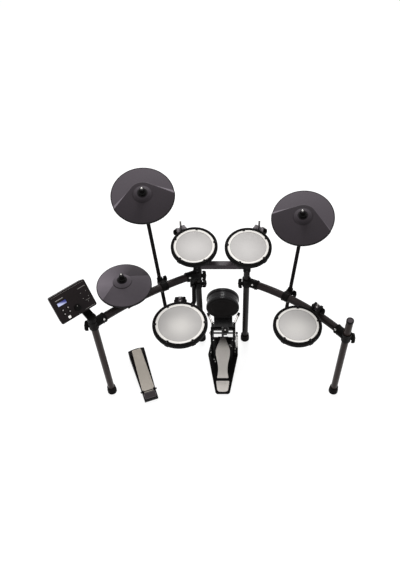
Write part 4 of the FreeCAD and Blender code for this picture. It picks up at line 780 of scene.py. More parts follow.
PEDAL_BLACK = Finish("pedal_black", (15, 13, 14), (11, 9, 10), (0.3, 0.44), specular=0.06, grain=1500,
                     bump=0.12, edge=0.9, wear=0.3, worn=(92, 87, 84), dust=0.03, dusty=(80, 76, 75))
# deep is the colour of the board's painted shade towards its toe, and of the chain's block.
PEDAL_ALLOY = Finish("pedal_alloy", (224, 218, 213), (212, 207, 201), (0.34, 0.48), metallic=0.35,
                     specular=0.3, grain=1100, bump=0.05, pattern=Pattern.BRUSHED, second=(202, 196, 191),
                     wear=0.2, worn=(236, 233, 230), toned=True, light=(248, 244, 240), deep=(70, 64, 62))
HAT_BOARD = Finish("hat_board", (196, 189, 179), (184, 177, 167), (0.32, 0.46), metallic=0.5, grain=1100,
                   bump=0.05, pattern=Pattern.BRUSHED, second=(172, 164, 154), wear=0.2, worn=(220, 215, 207))
PANEL_GREY = Finish("panel_grey", (48, 43, 45), (40, 36, 38), (0.45, 0.6), specular=0.14, grain=1600,
                    bump=0.2, dust=0.06)
FELT = Finish("beater_felt", (36, 33, 34), (26, 24, 25), (0.85, 0.98), specular=0.1, grain=900, coarse=120,
              bump=0.8, sheen=0.3, dusty=(80, 76, 76), dust=0.12)


Look = Union[Finish, Material]


class Builder:
    """Turns patches into pieces that ride on the frame."""

    sharp_angle = math.radians(38)

    @classmethod
    def piece(cls, name: str, patch: Patch, body: str, slot: str,
              look: Look, replaces: Sequence[str] = ()) -> bpy.types.Object:
        """A piece from a patch: doubles merged, normals outward, smooth between sharp edges.

        Args:
            name: the piece's name.
            patch: its shape, in millimetres.
            body: CAD body that it rides on, or nothing for a piece between two bodies.
            slot: material slot of the record that it belongs to; not used.
            look: its finish, or a finish's material for one place.
            replaces: CAD nodes that it stands for.
        Returns:
            The piece's object.
        """
        mesh = bpy.data.meshes.new(name)
        mesh.from_pydata((patch.points * MM).tolist(), [], patch.faces.tolist())
        if patch.tone is not None:
            shades = mesh.attributes.new("tone", "FLOAT", "POINT").data
            shades.foreach_set("value", patch.tone.astype(np.float32))
        work = bmesh.new()
        work.from_mesh(mesh)
        bmesh.ops.remove_doubles(work, verts=work.verts, dist=WELD)
        bmesh.ops.dissolve_degenerate(work, edges=work.edges, dist=SLIVER)
        bmesh.ops.recalc_face_normals(work, faces=work.faces)
        work.to_mesh(mesh)
        work.free()
        mesh.polygons.foreach_set("use_smooth", np.ones(len(mesh.polygons), bool))
        mesh.set_sharp_from_angle(angle=cls.sharp_angle)
        mesh.materials.append(look.material() if isinstance(look, Finish) else look)
        made = bpy.data.objects.new(name, mesh)
        bpy.context.scene.collection.objects.link(made)
        if body:
            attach(made, body)
        if replaces:
            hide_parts(*replaces)
        LOG.info("%s on %s: %d faces", name, body or "two bodies", len(mesh.polygons))
        return made

    @classmethod
    def screws(cls, name: str, size: Pair, spots: Sequence[Place], body: str,
               finish: Finish = BRIGHT_STEEL, slot: str = "pedal_chrome") -> None:
        """Screw heads of one (radius, height) at several places, as one piece."""
        cls.piece(name, screw_head(*size).at(*spots), body, slot, finish)

    @staticmethod
    def dress(finish: Finish, *nodes: str) -> None:
        """Give CAD nodes a finish through their material slots."""
        for name in nodes:
            for holder in frame["nodes"][name].material_slots:
                holder.material = finish.material()
            LOG.info("%s finished in %s", name, finish.name)


@dataclass(frozen=True)
class Bow:
    """Arc of an arm between two leg axes, bulging away from the drummer."""

    start: np.ndarray
    end: np.ndarray
    rise: float

    def __post_init__(self) -> None:
        """Work out the arc's centre, radius and angle from its chord and rise."""
        along = unit(self.end - self.start)
        side = unit(np.cross(along, UP))
        out = side if side[1] > 0 else -side
        chord = float(np.linalg.norm(self.end - self.start))
        radius = (chord * chord / 4 + self.rise * self.rise) / (2 * self.rise)
        for name, value in (("along", along), ("out", out), ("radius", radius),
                            ("centre", (self.start + self.end) / 2 + out * (self.rise - radius)),
                            ("angle", 2 * math.asin(chord / 2 / radius))):
            object.__setattr__(self, name, value)

    def outward(self, share: float) -> np.ndarray:
        """Direction from the arc's centre at a share of its length."""
        turn = (share - 0.5) * self.angle
        return self.out * math.cos(turn) + self.along * math.sin(turn)

    def tangent(self, share: float) -> np.ndarray:
        """Direction of the arc at a share of its length."""
        turn = (share - 0.5) * self.angle
        return self.along * math.cos(turn) - self.out * math.sin(turn)

    def point(self, share: float) -> np.ndarray:
        """Point of the arc at a share of its length."""
        return self.centre + self.outward(share) * self.radius

    def share(self, distance: float) -> float:
        """Share of the arc's length that a distance makes."""
        return distance / (self.angle * self.radius)

    def place(self, share: float) -> Place:
        """Frame on the arc, its z along it."""
        return Place.on(self.point(share), self.tangent(share), UP)


@dataclass(frozen=True)
class WingGrip:
    """Moulded wing over a wing bolt: a hub, a bright bolt end and two swelling blades."""

    hub: float = 9.0
    length: float = 12.6
    half_span: float = 26.0
    half_height: float = 9.8
    lift: float = 7.2

    def patch(self) -> Patch:
        """Hub turned about z, and one blade carried along x.

        The blade's section is a superellipse over s from -1 to 1. Its outer edge falls as 3.2 s^2 and its
        inner edge as 5.5 s^4, so that it hugs what it clamps. Half its thickness is 5.8 - 1.4 s^2. Both
        shrink to nothing at the tips.

        Returns:
            The grip, its z along the bolt.
        """
        corners = [(0, 0), (self.hub + 1.5, 0), (self.hub, self.length), (0, self.length + 1.2)]
        hub = lathed(corners, 2.2, segments=32)
        share = np.sin(np.linspace(-np.pi / 2, np.pi / 2, 25))
        tip = np.sqrt(np.clip(1 - share**10, 0, 1))
        section = ring_outline(1.0, 1.0, 20, 3.0)
        outer = self.lift + self.half_height - 3.2 * share**2
        inner = self.lift - self.half_height - 5.5 * share**4
        high = (outer - inner) / 2 * tip
        thick = (5.8 - 1.4 * share**2) * tip
        rings = np.empty((share.size, len(section), 3))
        rings[..., 0] = (self.half_span * share)[:, None]
        rings[..., 1] = thick[:, None] * section[None, :, 0]
        rings[..., 2] = ((outer + inner) / 2)[:, None] + high[:, None] * section[None, :, 1]
        return hub + Patch.grid(rings)

    def bolt(self) -> Patch:
        """Bright end of the bolt in the hub."""
        base = self.lift + 9.2
        return stub(3.2, base, base + 2.2, 0.6, 0.9, 5, 20)


@dataclass(frozen=True)
class Rack:
    """Legs, arms, crossbar, joints, clamps and rods, and the moulded trim on them."""

    inner_x: float = 127.0
    outer_x: float = 609.0
    outer_y: float = -352.0
    left_heights: Pair = (578.0, 620.0)
    right_heights: Pair = (515.0, 517.0)
    left_rise: float = 24.0
    right_rise: float = 38.0
    inner_reach: float = 27.5
    outer_reach: float = 28.5
    socket_radius: float = 24.5
    socket_length: float = 66.0
    screw_reaches: tuple[float, ...] = (54.0, 50.0, 40.0, 58.0)
    screw_rise: float = 35.0
    bolt_drop: float = 14.0
    wing_lean: float = 50.0
    clamp_radius: float = 25.0
    clamp_half: float = 17.0
    clamp_shares: tuple[float, float, float, float] = (0.32, 0.65, 0.376, 0.68)
    clamp_reaches: Triple = (39.5, 55.5, 39.5)
    bolt_reach: float = 22.0
    right_cap_height: float = 647.5
    leg_radius: float = 17.5
    foot_radius: float = 25.0
    groove_heights: tuple[float, ...] = (5.5, 10.5, 15.5)
    bar_height: float = 660.0
    corner_half: float = 19.5
    corner_drops: Pair = (15.0, 38.0)
    tom_bolt: Triple = (143.0, 34.5, 638.0)
    snare_collar_height: float = 500.0

    def _arm(self, side: int, heights: Pair, rise: float) -> Bow:
        """Arc from an inner leg to the outer leg on the same side."""
        start = np.array((side * self.inner_x, 0, heights[0]))
        return Bow(start, np.array((side * self.outer_x, self.outer_y, heights[1])), rise)

    def left_arm(self) -> Bow:
        """The left arm's arc."""
        return self._arm(-1, self.left_heights, self.left_rise)

    def right_arm(self) -> Bow:
        """The right arm's arc."""
        return self._arm(1, self.right_heights, self.right_rise)

    def build(self) -> None:
        """Dress the CAD nodes and add the trim."""
        Builder.dress(POWDER_COAT, "inner_legs")
        Builder.dress(LIT_LEG_COAT, "left_outer_leg", "right_outer_leg")
        Builder.dress(LIT_ARM_COAT, "left_arm", "right_arm")
        Builder.dress(BAR_COAT, "crossbar")
        Builder.dress(NYLON, "crossbar_corners", "left_arm_joints", "right_arm_joints", "left_rack_clamps",
                      "right_rack_clamps", "rod_clamps")
        Builder.dress(ROD_STEEL, "pad_rods", "floor_tom_rod")
        self.feet()
        self.grips()
        self.sockets()
        self.clamp_bands()
        self.corner_screws()
        self.snare_sleeve()

    def feet(self) -> None:
        """Flared feet with three grooves, and the cap of the right leg."""
        wide = self.foot_radius
        grooves = [(wide - dip, height + step) for height in self.groove_heights
                   for dip, step in ((0, -1), (1, 0), (0, 1))]
        corners = [(0, 0), (wide, 0.0), *grooves, (wide, 20.0), (21.6, 40.0), (22.6, 41.0), (22.6, 44.0),
                   (17.0, 45.0), (17.0, 30.0), (0, 30.0)]
        shape = lathed(corners, 0.8, 4, 56)
        outer = [Place.on((side * self.outer_x, self.outer_y, 0), UP) for side in SIDES]
        inner = [Place.on((side * self.inner_x, 0, 0), UP) for side in SIDES]
        cap_place = outer[1].shifted(z=self.right_cap_height)
        over = self.leg_radius + 0.9
        cap = ring_band(over, -12.0, 0.9, 4.2, 1.2).at(cap_place)
        plug = stub(over - 4.0, -6.0, -0.6, 0.8).at(cap_place)
        for name, patch, body, finish, node in (
                ("inner_feet", shape.at(*inner), "stand", FOOT_RUBBER, "inner_leg_feet"),
                ("left_foot", shape.at(outer[0]), "left_wing", FOOT_RUBBER, "left_leg_foot"),
                ("right_foot", shape.at(outer[1]), "right_wing", FOOT_RUBBER, "right_leg_ends"),
                ("right_leg_cap", cap, "right_wing", NYLON, "right_leg_ends"),
                ("right_leg_plug", plug, "right_wing", BAR_COAT, "right_leg_ends")):
            Builder.piece(name, patch, body, "foot_rubber", finish, [node])

    def _clamp_places(self) -> list[tuple[str, Place]]:
        """Body and frame of the wing bolt on each pole's clamp.

        Returns:
            Pairs of a body and a frame.
        """
        found = []
        arms = (self.left_arm(), self.left_arm(), self.right_arm())
        bodies = ("left_wing", "left_wing", "right_wing")
        for arm, body, share, reach in zip(arms, bodies, self.clamp_shares, self.clamp_reaches):
            side = unit(arm.tangent(share) * np.array((1, 1, 0)))
            side = side if side[0] > 0 else -side
            seat = arm.point(share) + arm.outward(share) * reach + side * self.bolt_reach
            found.append((body, Place.on(seat, side, UP)))
        return found

    def grips(self) -> None:
        """Wing grips over every wing bolt of the rack."""
        low_left, high_left = self.left_heights
        low_right, high_right = self.right_heights
        x, y, z = self.tom_bolt
        drop, lean = self.bolt_drop, math.radians(self.wing_lean)
        wings = AWAY * math.sin(lean) + UP * math.cos(lean)
        inner, outer = self.inner_x - self.inner_reach, self.outer_x + self.outer_reach
        places = {
            "left_wing": [Place.on((-inner, 0, low_left - drop), RIGHT, wings),
                          Place.on((-outer, self.outer_y, high_left - drop), -RIGHT, wings)],
            "right_wing": [Place.on((inner, 0, low_right - drop), -RIGHT, wings),
                           Place.on((outer, self.outer_y, high_right - drop), RIGHT, wings)],
            "stand": [Place.on((-x, y, z), -RIGHT, UP), Place.on((x, y, z), RIGHT, UP),
                      Place.on((self.inner_reach - self.inner_x, 0, self.snare_collar_height), RIGHT, AWAY)]}
        for body, place in self._clamp_places():
            places[body].append(place)
        shape = WingGrip()
        for body, spots in places.items():
            Builder.piece(body + "_grips", shape.patch().at(*spots), body, "rack_joint", NYLON)
            Builder.piece(body + "_bolt_ends", shape.bolt().at(*spots), body, "pedal_chrome", BRIGHT_STEEL)

    def sockets(self) -> None:
        """Mouth rings of the arm sockets, and a bright screw in the near side of each socket."""
        mouth = ring_band(self.socket_radius + 1.6, -4.0, 4.0, 5.0, 1.4)
        rise = math.radians(self.screw_rise)
        arms = (("left_wing", self.left_arm(), self.screw_reaches[:2]),
                ("right_wing", self.right_arm(), self.screw_reaches[2:]))
        for body, arm, reaches in arms:
            reach = arm.share(self.socket_length)
            rings = [arm.place(share) for share in (reach - arm.share(5), 1 - reach + arm.share(5))]
            Builder.piece(body + "_socket_mouths", mouth.at(*rings), body, "rack_joint", NYLON)
            spots = []
            for share in (arm.share(reaches[0]), 1 - arm.share(reaches[1])):
                run = arm.tangent(share)
                near = unit(NEAR - run * np.dot(run, NEAR))
                upward = np.cross(run, near) * np.sign(np.cross(run, near)[2])
                facing = near * math.cos(rise) + upward * math.sin(rise)
                spots.append(Place.on(arm.point(share) + facing * (self.socket_radius - 0.4), facing))
            Builder.screws(body + "_socket_screws", (5.4, 3.6), spots, body)

    def clamp_bands(self) -> None:
        """Raised bands at the edges of each clamp's collar on the arms."""
        band = ring_band(self.clamp_radius + 1.1, -2.5, 2.5, 4.0, 1.0)
        crash, hihat, ride, floor_tom = self.clamp_shares
        for body, arm, shares in (("left_wing", self.left_arm(), (crash, hihat)),
                                  ("right_wing", self.right_arm(), (ride, floor_tom))):
            edge = arm.share(self.clamp_half - 2.6)
            spots = [arm.place(share + side * edge) for share in shares for side in SIDES]
            Builder.piece(body + "_clamp_bands", band.at(*spots), body, "rack_joint", NYLON)

    def corner_screws(self) -> None:
        """Two screws in the near face of each corner block."""
        near = [Place.on((side * self.inner_x, -self.corner_half, self.bar_height - drop), NEAR)
                for side in SIDES for drop in self.corner_drops]
        Builder.screws("corner_screws", (4.6, 2.6), near, "stand", DARK_STEEL)

    def snare_sleeve(self) -> None:
        """Dark sleeve on the thick lower run of the snare's rod."""
        height = self.snare_collar_height
        top = joint_point("snare_tilt")
        corners = [(-151.0, 14.0, height), (-143.0, -134.0, height), (top[0], top[1], height),
                   (top[0], top[1], height + 39.0)]
        sleeve = swept(rounded(corners, 21.0, 9), ring_outline(11.0, 11.0, 24), RIGHT)
        Builder.piece("snare_rod_sleeve", sleeve, "stand", "steel_rod", POLE_COAT)


@dataclass(frozen=True)
class Cymbal:
    """Cymbal pad: a rubber cover with a bell and a playing sector, its nut, felt and pole."""

    name: str
    diameter: float
    tilt: float
    side_tilt: float
    back_span: Pair
    border: float
    ramps: Pair
    tones: Triple
    offset: Pair = (0.0, 0.0)
    step_out: float = 2.2
    step_up: float = 2.0
    # Tone of the painted highlight on the ramps.
    ramp_highlight_tone: float = 0.95
    bell_height: float = 24.0
    bell_top: float = 26.0
    bell_foot: float = 42.0
    foot_height: float = 13.0
    edge_height: float = 3.0
    skirt: float = 3.0
    rubber: float = 5.0
    rim_rubber: float = 6.0
    hole: float = 14.3
    seat: float = 15.0
    nut_base: float = 27.2
    nut_height: float = 41.2
    nut_radius: float = 18.6
    spokes: int = 360
    rounds: int = 46

    @cached_property
    def place(self) -> Place:
        """Frame of the cymbal: zero at the plate's middle, z along its normal."""
        tilt, side = math.radians(self.tilt), math.radians(self.side_tilt)
        normal = np.array((math.sin(side), -math.cos(side) * math.sin(tilt), math.cos(side) * math.cos(tilt)))
        return Place.on(joint_point(self.name + "_rock") - normal * self.seat, normal)

    def build(self) -> None:
        """Dress the core and the pole, and make the cover, the nut and its trim."""
        Builder.dress(CYMBAL_CORE, self.name + "_core")
        Builder.dress(POLE_COAT, self.name + "_pole")
        look = CYMBAL_RUBBER.material(self.place, self.name)
        Builder.piece(self.name + "_cover", self.cover().at(self.place), self.name + "_cymbal",
                      "cymbal_rubber", look, [self.name + "_rubber"])
        self.nut()

    def cover(self) -> Patch:
        """Closed section carried round the bell.

        At angle a the rim lies where the ray meets the round edge: e.o + sqrt(R^2 - |o|^2 + (e.o)^2) for an
        edge of radius R about the offset o. The plain part of the plate lies behind a border that is an arc
        of radius b round the bell over the back span and runs straight on from the arc's ends: a point at
        radius r is r cos g - b beyond it, g being how far its angle lies outside the span. The playing part
        stands a step higher, and a ramp that widens to the rim leads down to the plain part.

        Returns:
            The cover, with a tone at each point.
        """
        angle = around(self.spokes)
        shift = self.offset[0] * np.cos(angle) + self.offset[1] * np.sin(angle)
        square = (self.diameter / 2) ** 2 - self.offset[0] ** 2 - self.offset[1] ** 2
        rim = shift + np.sqrt(square + shift**2)
        first, last = np.radians(self.back_span)
        turn = np.angle(np.exp(1j * (angle - (first + last) / 2)))
        past = np.maximum(np.abs(turn) - (last - first) / 2, 0)
        widest = np.where(turn > 0, self.ramps[1], self.ramps[0])

        def inside(reach: np.ndarray) -> tuple[np.ndarray, np.ndarray]:
            """How far points are inside the playing part, and how far on its ramp, from 0 to 1.

            Args:
                reach: radius of the points, the angle along the last axis.
            Returns:
                Both shares.
            """
            beyond = reach * np.cos(past) - self.border
            width = np.maximum(widest * np.clip((reach - self.border) / (rim - self.border), 0, 1), 1.6)
            share = np.clip(beyond / width, 0, 1)
            on_ramp = np.clip(beyond / 1.5, 0, 1) * np.clip((width - beyond) / 1.5, 0, 1)
            return 1 - share**2 * (3 - 2 * share), on_ramp * np.clip(past / 0.15, 0, 1)

        rim = rim + self.step_out * inside(rim)[0] * float(self.offset == (0.0, 0.0))
        share = np.linspace(0.03, 0.985, self.rounds)[:, None]
        reach = self.bell_foot + (rim - self.bell_foot) * share
        playing, on_ramp = inside(reach)
        height = self.foot_height + (self.edge_height - self.foot_height) * share
        height = height + 1.2 * np.sin(np.pi * share)
        top = np.stack((reach, height + self.step_up * playing), axis=-1)
        lift, still = self.step_up * inside(rim)[0], np.zeros_like(rim)
        foot = self.foot_height + self.step_up
        bell = rounded([(self.hole, self.bell_height - self.rubber), (self.hole, self.bell_height),
                        (self.bell_top, self.bell_height), (self.bell_foot - 3, foot + 1.0),
                        (self.bell_foot, foot)], 3.0, 7)
        bell = np.broadcast_to(bell[:, None], (len(bell), angle.size, 2))
        within = rim - self.rim_rubber
        edge = [(rim, self.edge_height + lift), (rim, still - self.skirt), (within, still - self.skirt),
                (within, still + self.edge_height - self.rubber),
                (still + self.bell_foot, still + self.foot_height - self.rubber),
                (still + self.bell_top, still + self.bell_height - self.rubber)]
        edge = np.stack([np.stack(corner, axis=-1) for corner in edge])
        edge = rounded(np.concatenate((top[-1:], edge)), 1.8, 5)[1:]
        section = np.concatenate((bell, top, edge))
        out, rise = section[..., 0], section[..., 1]
        points = np.stack((out * np.cos(angle), out * np.sin(angle), rise), axis=-1)
        struck, right, left = self.tones
        # The plain part grades from its tone at the right to its tone at the left: painted sheen, strongest
        # on the hi-hat.
        plain = right + (left - right) * np.clip(0.5 + turn / 2.2, 0, 1)
        tone = plain + (struck - plain) * playing
        # The ramps between the two parts are lightened: a painted highlight along them.
        tone = tone + (self.ramp_highlight_tone - tone) * on_ramp * np.clip(widest / 4 - 0.5, 0, 1)
        black = np.clip((reach - rim + 4.5) / 2.5, 0, 1)
        tone = tone * (1 - black) - black
        # Painted shade in the crease at the bell's foot.
        tone = self.painted_crease_shade(tone, reach, angle)
        # The bell's side is lighter on its far side and darker on its near side: painted light and shade from
        # the lamps behind the kit.
        side = np.clip((bell[..., 0] - self.bell_top) / (self.bell_foot - self.bell_top), 0, 1)
        dome = struck + 0.1 + (0.12 * np.sin(angle) - 0.05) * side
        crest = np.clip((self.bell_top - bell[..., 0]) / 4, 0, 1)
        dome = dome * (1 - crest) - 0.75 * crest
        tone = np.concatenate((dome, tone, np.full(edge.shape[:2], -1.0)))
        return replace(Patch.grid(points, close_rows=True), tone=tone.ravel())

    def painted_crease_shade(self, tone: np.ndarray, reach: np.ndarray, angle: np.ndarray) -> np.ndarray:
        """Painted shade in the crease at the bell's foot, most on its near side: a bell curve of the radius.

        Args:
            tone: tone so far, by radius and angle.
            reach: radius of each point.
            angle: angle of each column.
        Returns:
            The darkened tone.
        """
        crease = np.exp(-(((reach - self.bell_foot - 2.0) / 3.0) ** 2))
        crease = 0.8 * crease * np.clip(0.25 - 0.75 * np.sin(angle), 0, 1)
        return tone * (1 - crease) - crease

    def nut(self) -> None:
        """Ribbed dome nut, washer and bright stud on the pole, and the felt on the cymbal under them."""
        low, high, wide = self.nut_base, self.nut_base + self.nut_height, self.nut_radius
        pole = self.name + "_pole"
        dome = rounded([(0, low - 0.2), (0.7 * wide, low - 0.2), (wide, low + 2.6), (wide, low + 8.0),
                        (0.72 * wide, low + 13.0), (0.55 * wide, high - 8.0), (0, high - 8.0)], 2.4, 6)
        dome = turned(dome, 96, ripple=0.02, lobes=12)
        felt = ring_band(11.6, self.bell_height - 0.8, self.bell_height + 0.45, 2.6, 0.3)
        washer = lathed([(0, high - 8.4), (0.53 * wide, high - 8.4), (0.5 * wide, high - 4.6),
                         (0.34 * wide, high - 3.4), (0, high - 3.4)], 0.8, 4, 40)
        stud = stub(4.8, high - 4.0, high + 0.2, 0.7, 0.9, 4, 28)
        for name, patch, body, slot, finish in (
                ("_nut", dome, pole, "pole_tube", NUT_PLASTIC),
                ("_felt", felt, self.name + "_cymbal", "beater_felt", FELT),
                ("_washer", washer, pole, "pedal_chrome", DARK_STEEL),
                ("_stud", stud, pole, "pedal_chrome", BRIGHT_STEEL)):
            Builder.piece(self.name + name, patch.at(self.place), body, slot, finish)


@dataclass(frozen=True)
class DrumPad:
    """Mesh-headed pad: the stretched head, its pale collar, the rubber hoop with tabs, and the holder."""

    name: str
    rim: float
    tabs: int
    mesh: float
    tilt: float = 0.0
    lip: float = 15.8
    skin: Finish = MESH_HEAD
    hoop_height: float = 19.0
    above_head: float = 3.6
    tab_width: float = 11.0
    tab_reach: float = 5.0
    head_half: float = 0.6
    pin_half: float = 29.5
    ear_inside: float = 11.0
    block_outside: float = 27.0
    grip_side: int = 0
    block: Optional[Finish] = NYLON
    drum_body: str = "stand"
    drum: float = 17.6
    drum_finish: Finish = HOLDER_GREY

    @cached_property
    def place(self) -> Place:
        """Frame of the pad: zero at the head's middle, z along its normal."""
        low, high = node_box(self.name + "_head")
        normal = leaned(self.tilt)
        return Place.on((low + high) / 2 + normal * self.head_half, normal)

    @cached_property
    def holder(self) -> Place:
        """Frame at the holder's pin: x out from the pad, y along the pin."""
        axes = self.place.axes
        gap = (joint_point(self.name + "_tilt") - self.place.origin) @ axes.T
        out = unit((gap[0], gap[1], 0.0))
        along = np.cross((0, 0, 1), out)
        return Place(self.place.world(gap), np.stack((out @ axes, along @ axes, axes[2])))

    def _add(self, name: str, patch: Patch, slot: str, look: Look, replaces: Sequence[str] = (),
             body: str = "") -> bpy.types.Object:
        """A piece named after the pad, on the pad's body unless another is given."""
        return Builder.piece(self.name + name, patch, body or self.name, slot, look, replaces)

    def build(self) -> None:
        """Make the pad's pieces from the head outwards."""
        Builder.dress(PAD_SHELL, self.name + "_shell")
        self.head()
        self.hoop()
        self.trim()

    def head(self) -> None:
        """Stretched mesh: a flat disc of rings, and the pale collar over its border."""
        reach = self.rim - self.lip + 1.0
        share = np.linspace(0, 1, 20)[:, None]
        angle = around(96)[None, :]
        points = np.stack((reach * share * np.cos(angle), reach * share * np.sin(angle),
                           -0.15 - 0.25 * (1 - share**2) + 0 * angle), axis=-1)
        # The mesh's painted highlight is centred a little nearer the drummer than the head's middle.
        look = self.skin.material(self.place.shifted(y=-0.12 * self.mesh), self.name)
        made = self._add("_mesh", Patch.grid(points).at(self.place), "mesh_head", look, [self.name + "_head"])
        self.collar()

    def collar(self) -> None:
        """Pale collar over the mesh's border, its top pleated by h cos(n a), and the thin line at its end."""
        inner, outer = self.mesh, self.rim - self.lip + 0.6
        section = rounded([(inner, -0.1), (inner + 2.5, 0.55), (outer - 6, 0.75), (outer, 1.3), (outer, -0.4),
                           (inner, -0.4)], 0.6, 4, closed=True)
        angle = around(360)
        pleat = 0.22 * np.cos(90 * angle) * np.clip(section[:, 1:] / 0.6, 0, 1)
        reach = section[:, :1]
        points = np.stack((reach * np.cos(angle), reach * np.sin(angle), section[:, 1:] + pleat), axis=-1)
        self._add("_collar", Patch.grid(points, close_rows=True).at(self.place), "mesh_head", HEAD_COLLAR)
        line = ring_band(inner + 0.9, -0.2, 0.5, 1.5, 0.25, 96)
        self._add("_collar_line", line.at(self.place), "mesh_head", PALE_TRIM)

    def hoop(self) -> None:
        """Rubber hoop with a groove round its side, the tabs that hold it down, and its screws."""
        top, low = self.above_head, self.above_head - self.hoop_height
        rim, inner = self.rim, self.rim - self.lip
        corners = [(inner, 0.4), (inner, top - 1.5), (inner + 3.5, top + 0.3), (rim - 3.5, top + 0.3),
                   (rim, top - 3.0), (rim, top - 7.2), (rim - 0.9, top - 8.0), (rim, top - 8.8),
                   (rim, low + 1.0), (rim - 1.2, low), (inner + 3, low), (inner + 3, 0.4)]
        ring = lathed(corners, 1.6, 5, 128, closed=True)
        self._add("_hoop_rubber", ring.at(self.place), "hoop_rubber", HOOP_RUBBER, [self.name + "_hoop"])
        out_x, out_y = (self.holder.axes[0] @ self.place.axes.T)[:2]
        begin = math.degrees(math.atan2(out_y, out_x)) + 180 / self.tabs
        spots = [self.place.spun(begin + index * 360 / self.tabs) for index in range(self.tabs)]
        tab = slab(box_outline(2 * self.tab_reach, self.tab_width, 2.0), 0.4, 3.0, 0.7)
        on_lip = [spot.shifted(inner + 0.5) for spot in spots]
        on_top = [spot.shifted(rim - self.lip / 2 + 0.4, 0, top + 0.2) for spot in spots]
        self._add("_tabs", tab.at(*on_lip), "hoop_rubber", PAD_SHELL)
        Builder.screws(self.name + "_hoop_screws", (3.4, 2.2), on_top, self.name, DARK_STEEL, "hoop_rubber")

    def trim(self) -> None:
        """Pale line between hoop and pan as a painted highlight, the holder's cheek blocks, its pin heads,
        grip and middle drum.
        """
        low = self.above_head - self.hoop_height
        # A pale ring in the step below the hoop: painted highlight along the edge between hoop and pan.
        line = ring_band(self.rim - 2.4, low - 0.9, low + 0.3, 2.0, 0.3, 96)
        self._add("_pan_line", line.at(self.place), "pad_shell", PALE_TRIM)
        ends = {side: self.holder.facing((0, side, 0), (1, 0, 0)) for side in SIDES}
        if self.block:
            cheek = slab(box_outline(35.0, 41.6, 7.0), self.ear_inside, self.block_outside, 1.8)
            cheeks = cheek.at(*[end.shifted(x=-2.5, y=side * 3.0) for side, end in ends.items()])
            self._add("_holder", cheeks, "rack_joint", self.block)
        gripped = [side for side, end in ends.items() if end.axes[2] @ RIGHT * self.grip_side > 0]
        heads = [end.shifted(z=self.pin_half - 0.2) for side, end in ends.items() if side not in gripped]
        Builder.screws(self.name + "_pin_heads", (6.4, 3.0), heads, self.name, DARK_STEEL, "rack_joint")
        for side in gripped:
            spot = self.holder.facing((0, side, 0), (0, 0, 1))
            spot = spot.shifted(x=8.0 if self.block else 0.0, z=self.pin_half - 2.0)
            grip = WingGrip(half_span=21.0).patch().at(spot)
            self._add("_holder_grip", grip, "rack_joint", NYLON)
        drum = ring_band(self.drum, -10.6, 10.6, self.drum - 11.0, 1.6)
        self._add("_eye_drum", drum.at(ends[1]), "rack_joint", self.drum_finish, body=self.drum_body)
        facing = unit(UP * 0.8 + NEAR * 0.6)
        facing = unit(facing - self.holder.axes[1] * (facing @ self.holder.axes[1]))
        bolt = Place.on(self.holder.origin + facing * (self.drum - 0.4), facing)
        steel = DARK_STEEL if self.block is HOLDER_GREY else BRIGHT_STEEL
        Builder.screws(self.name + "_eye_bolt", (4.2, 3.0), [bolt], self.drum_body, steel)


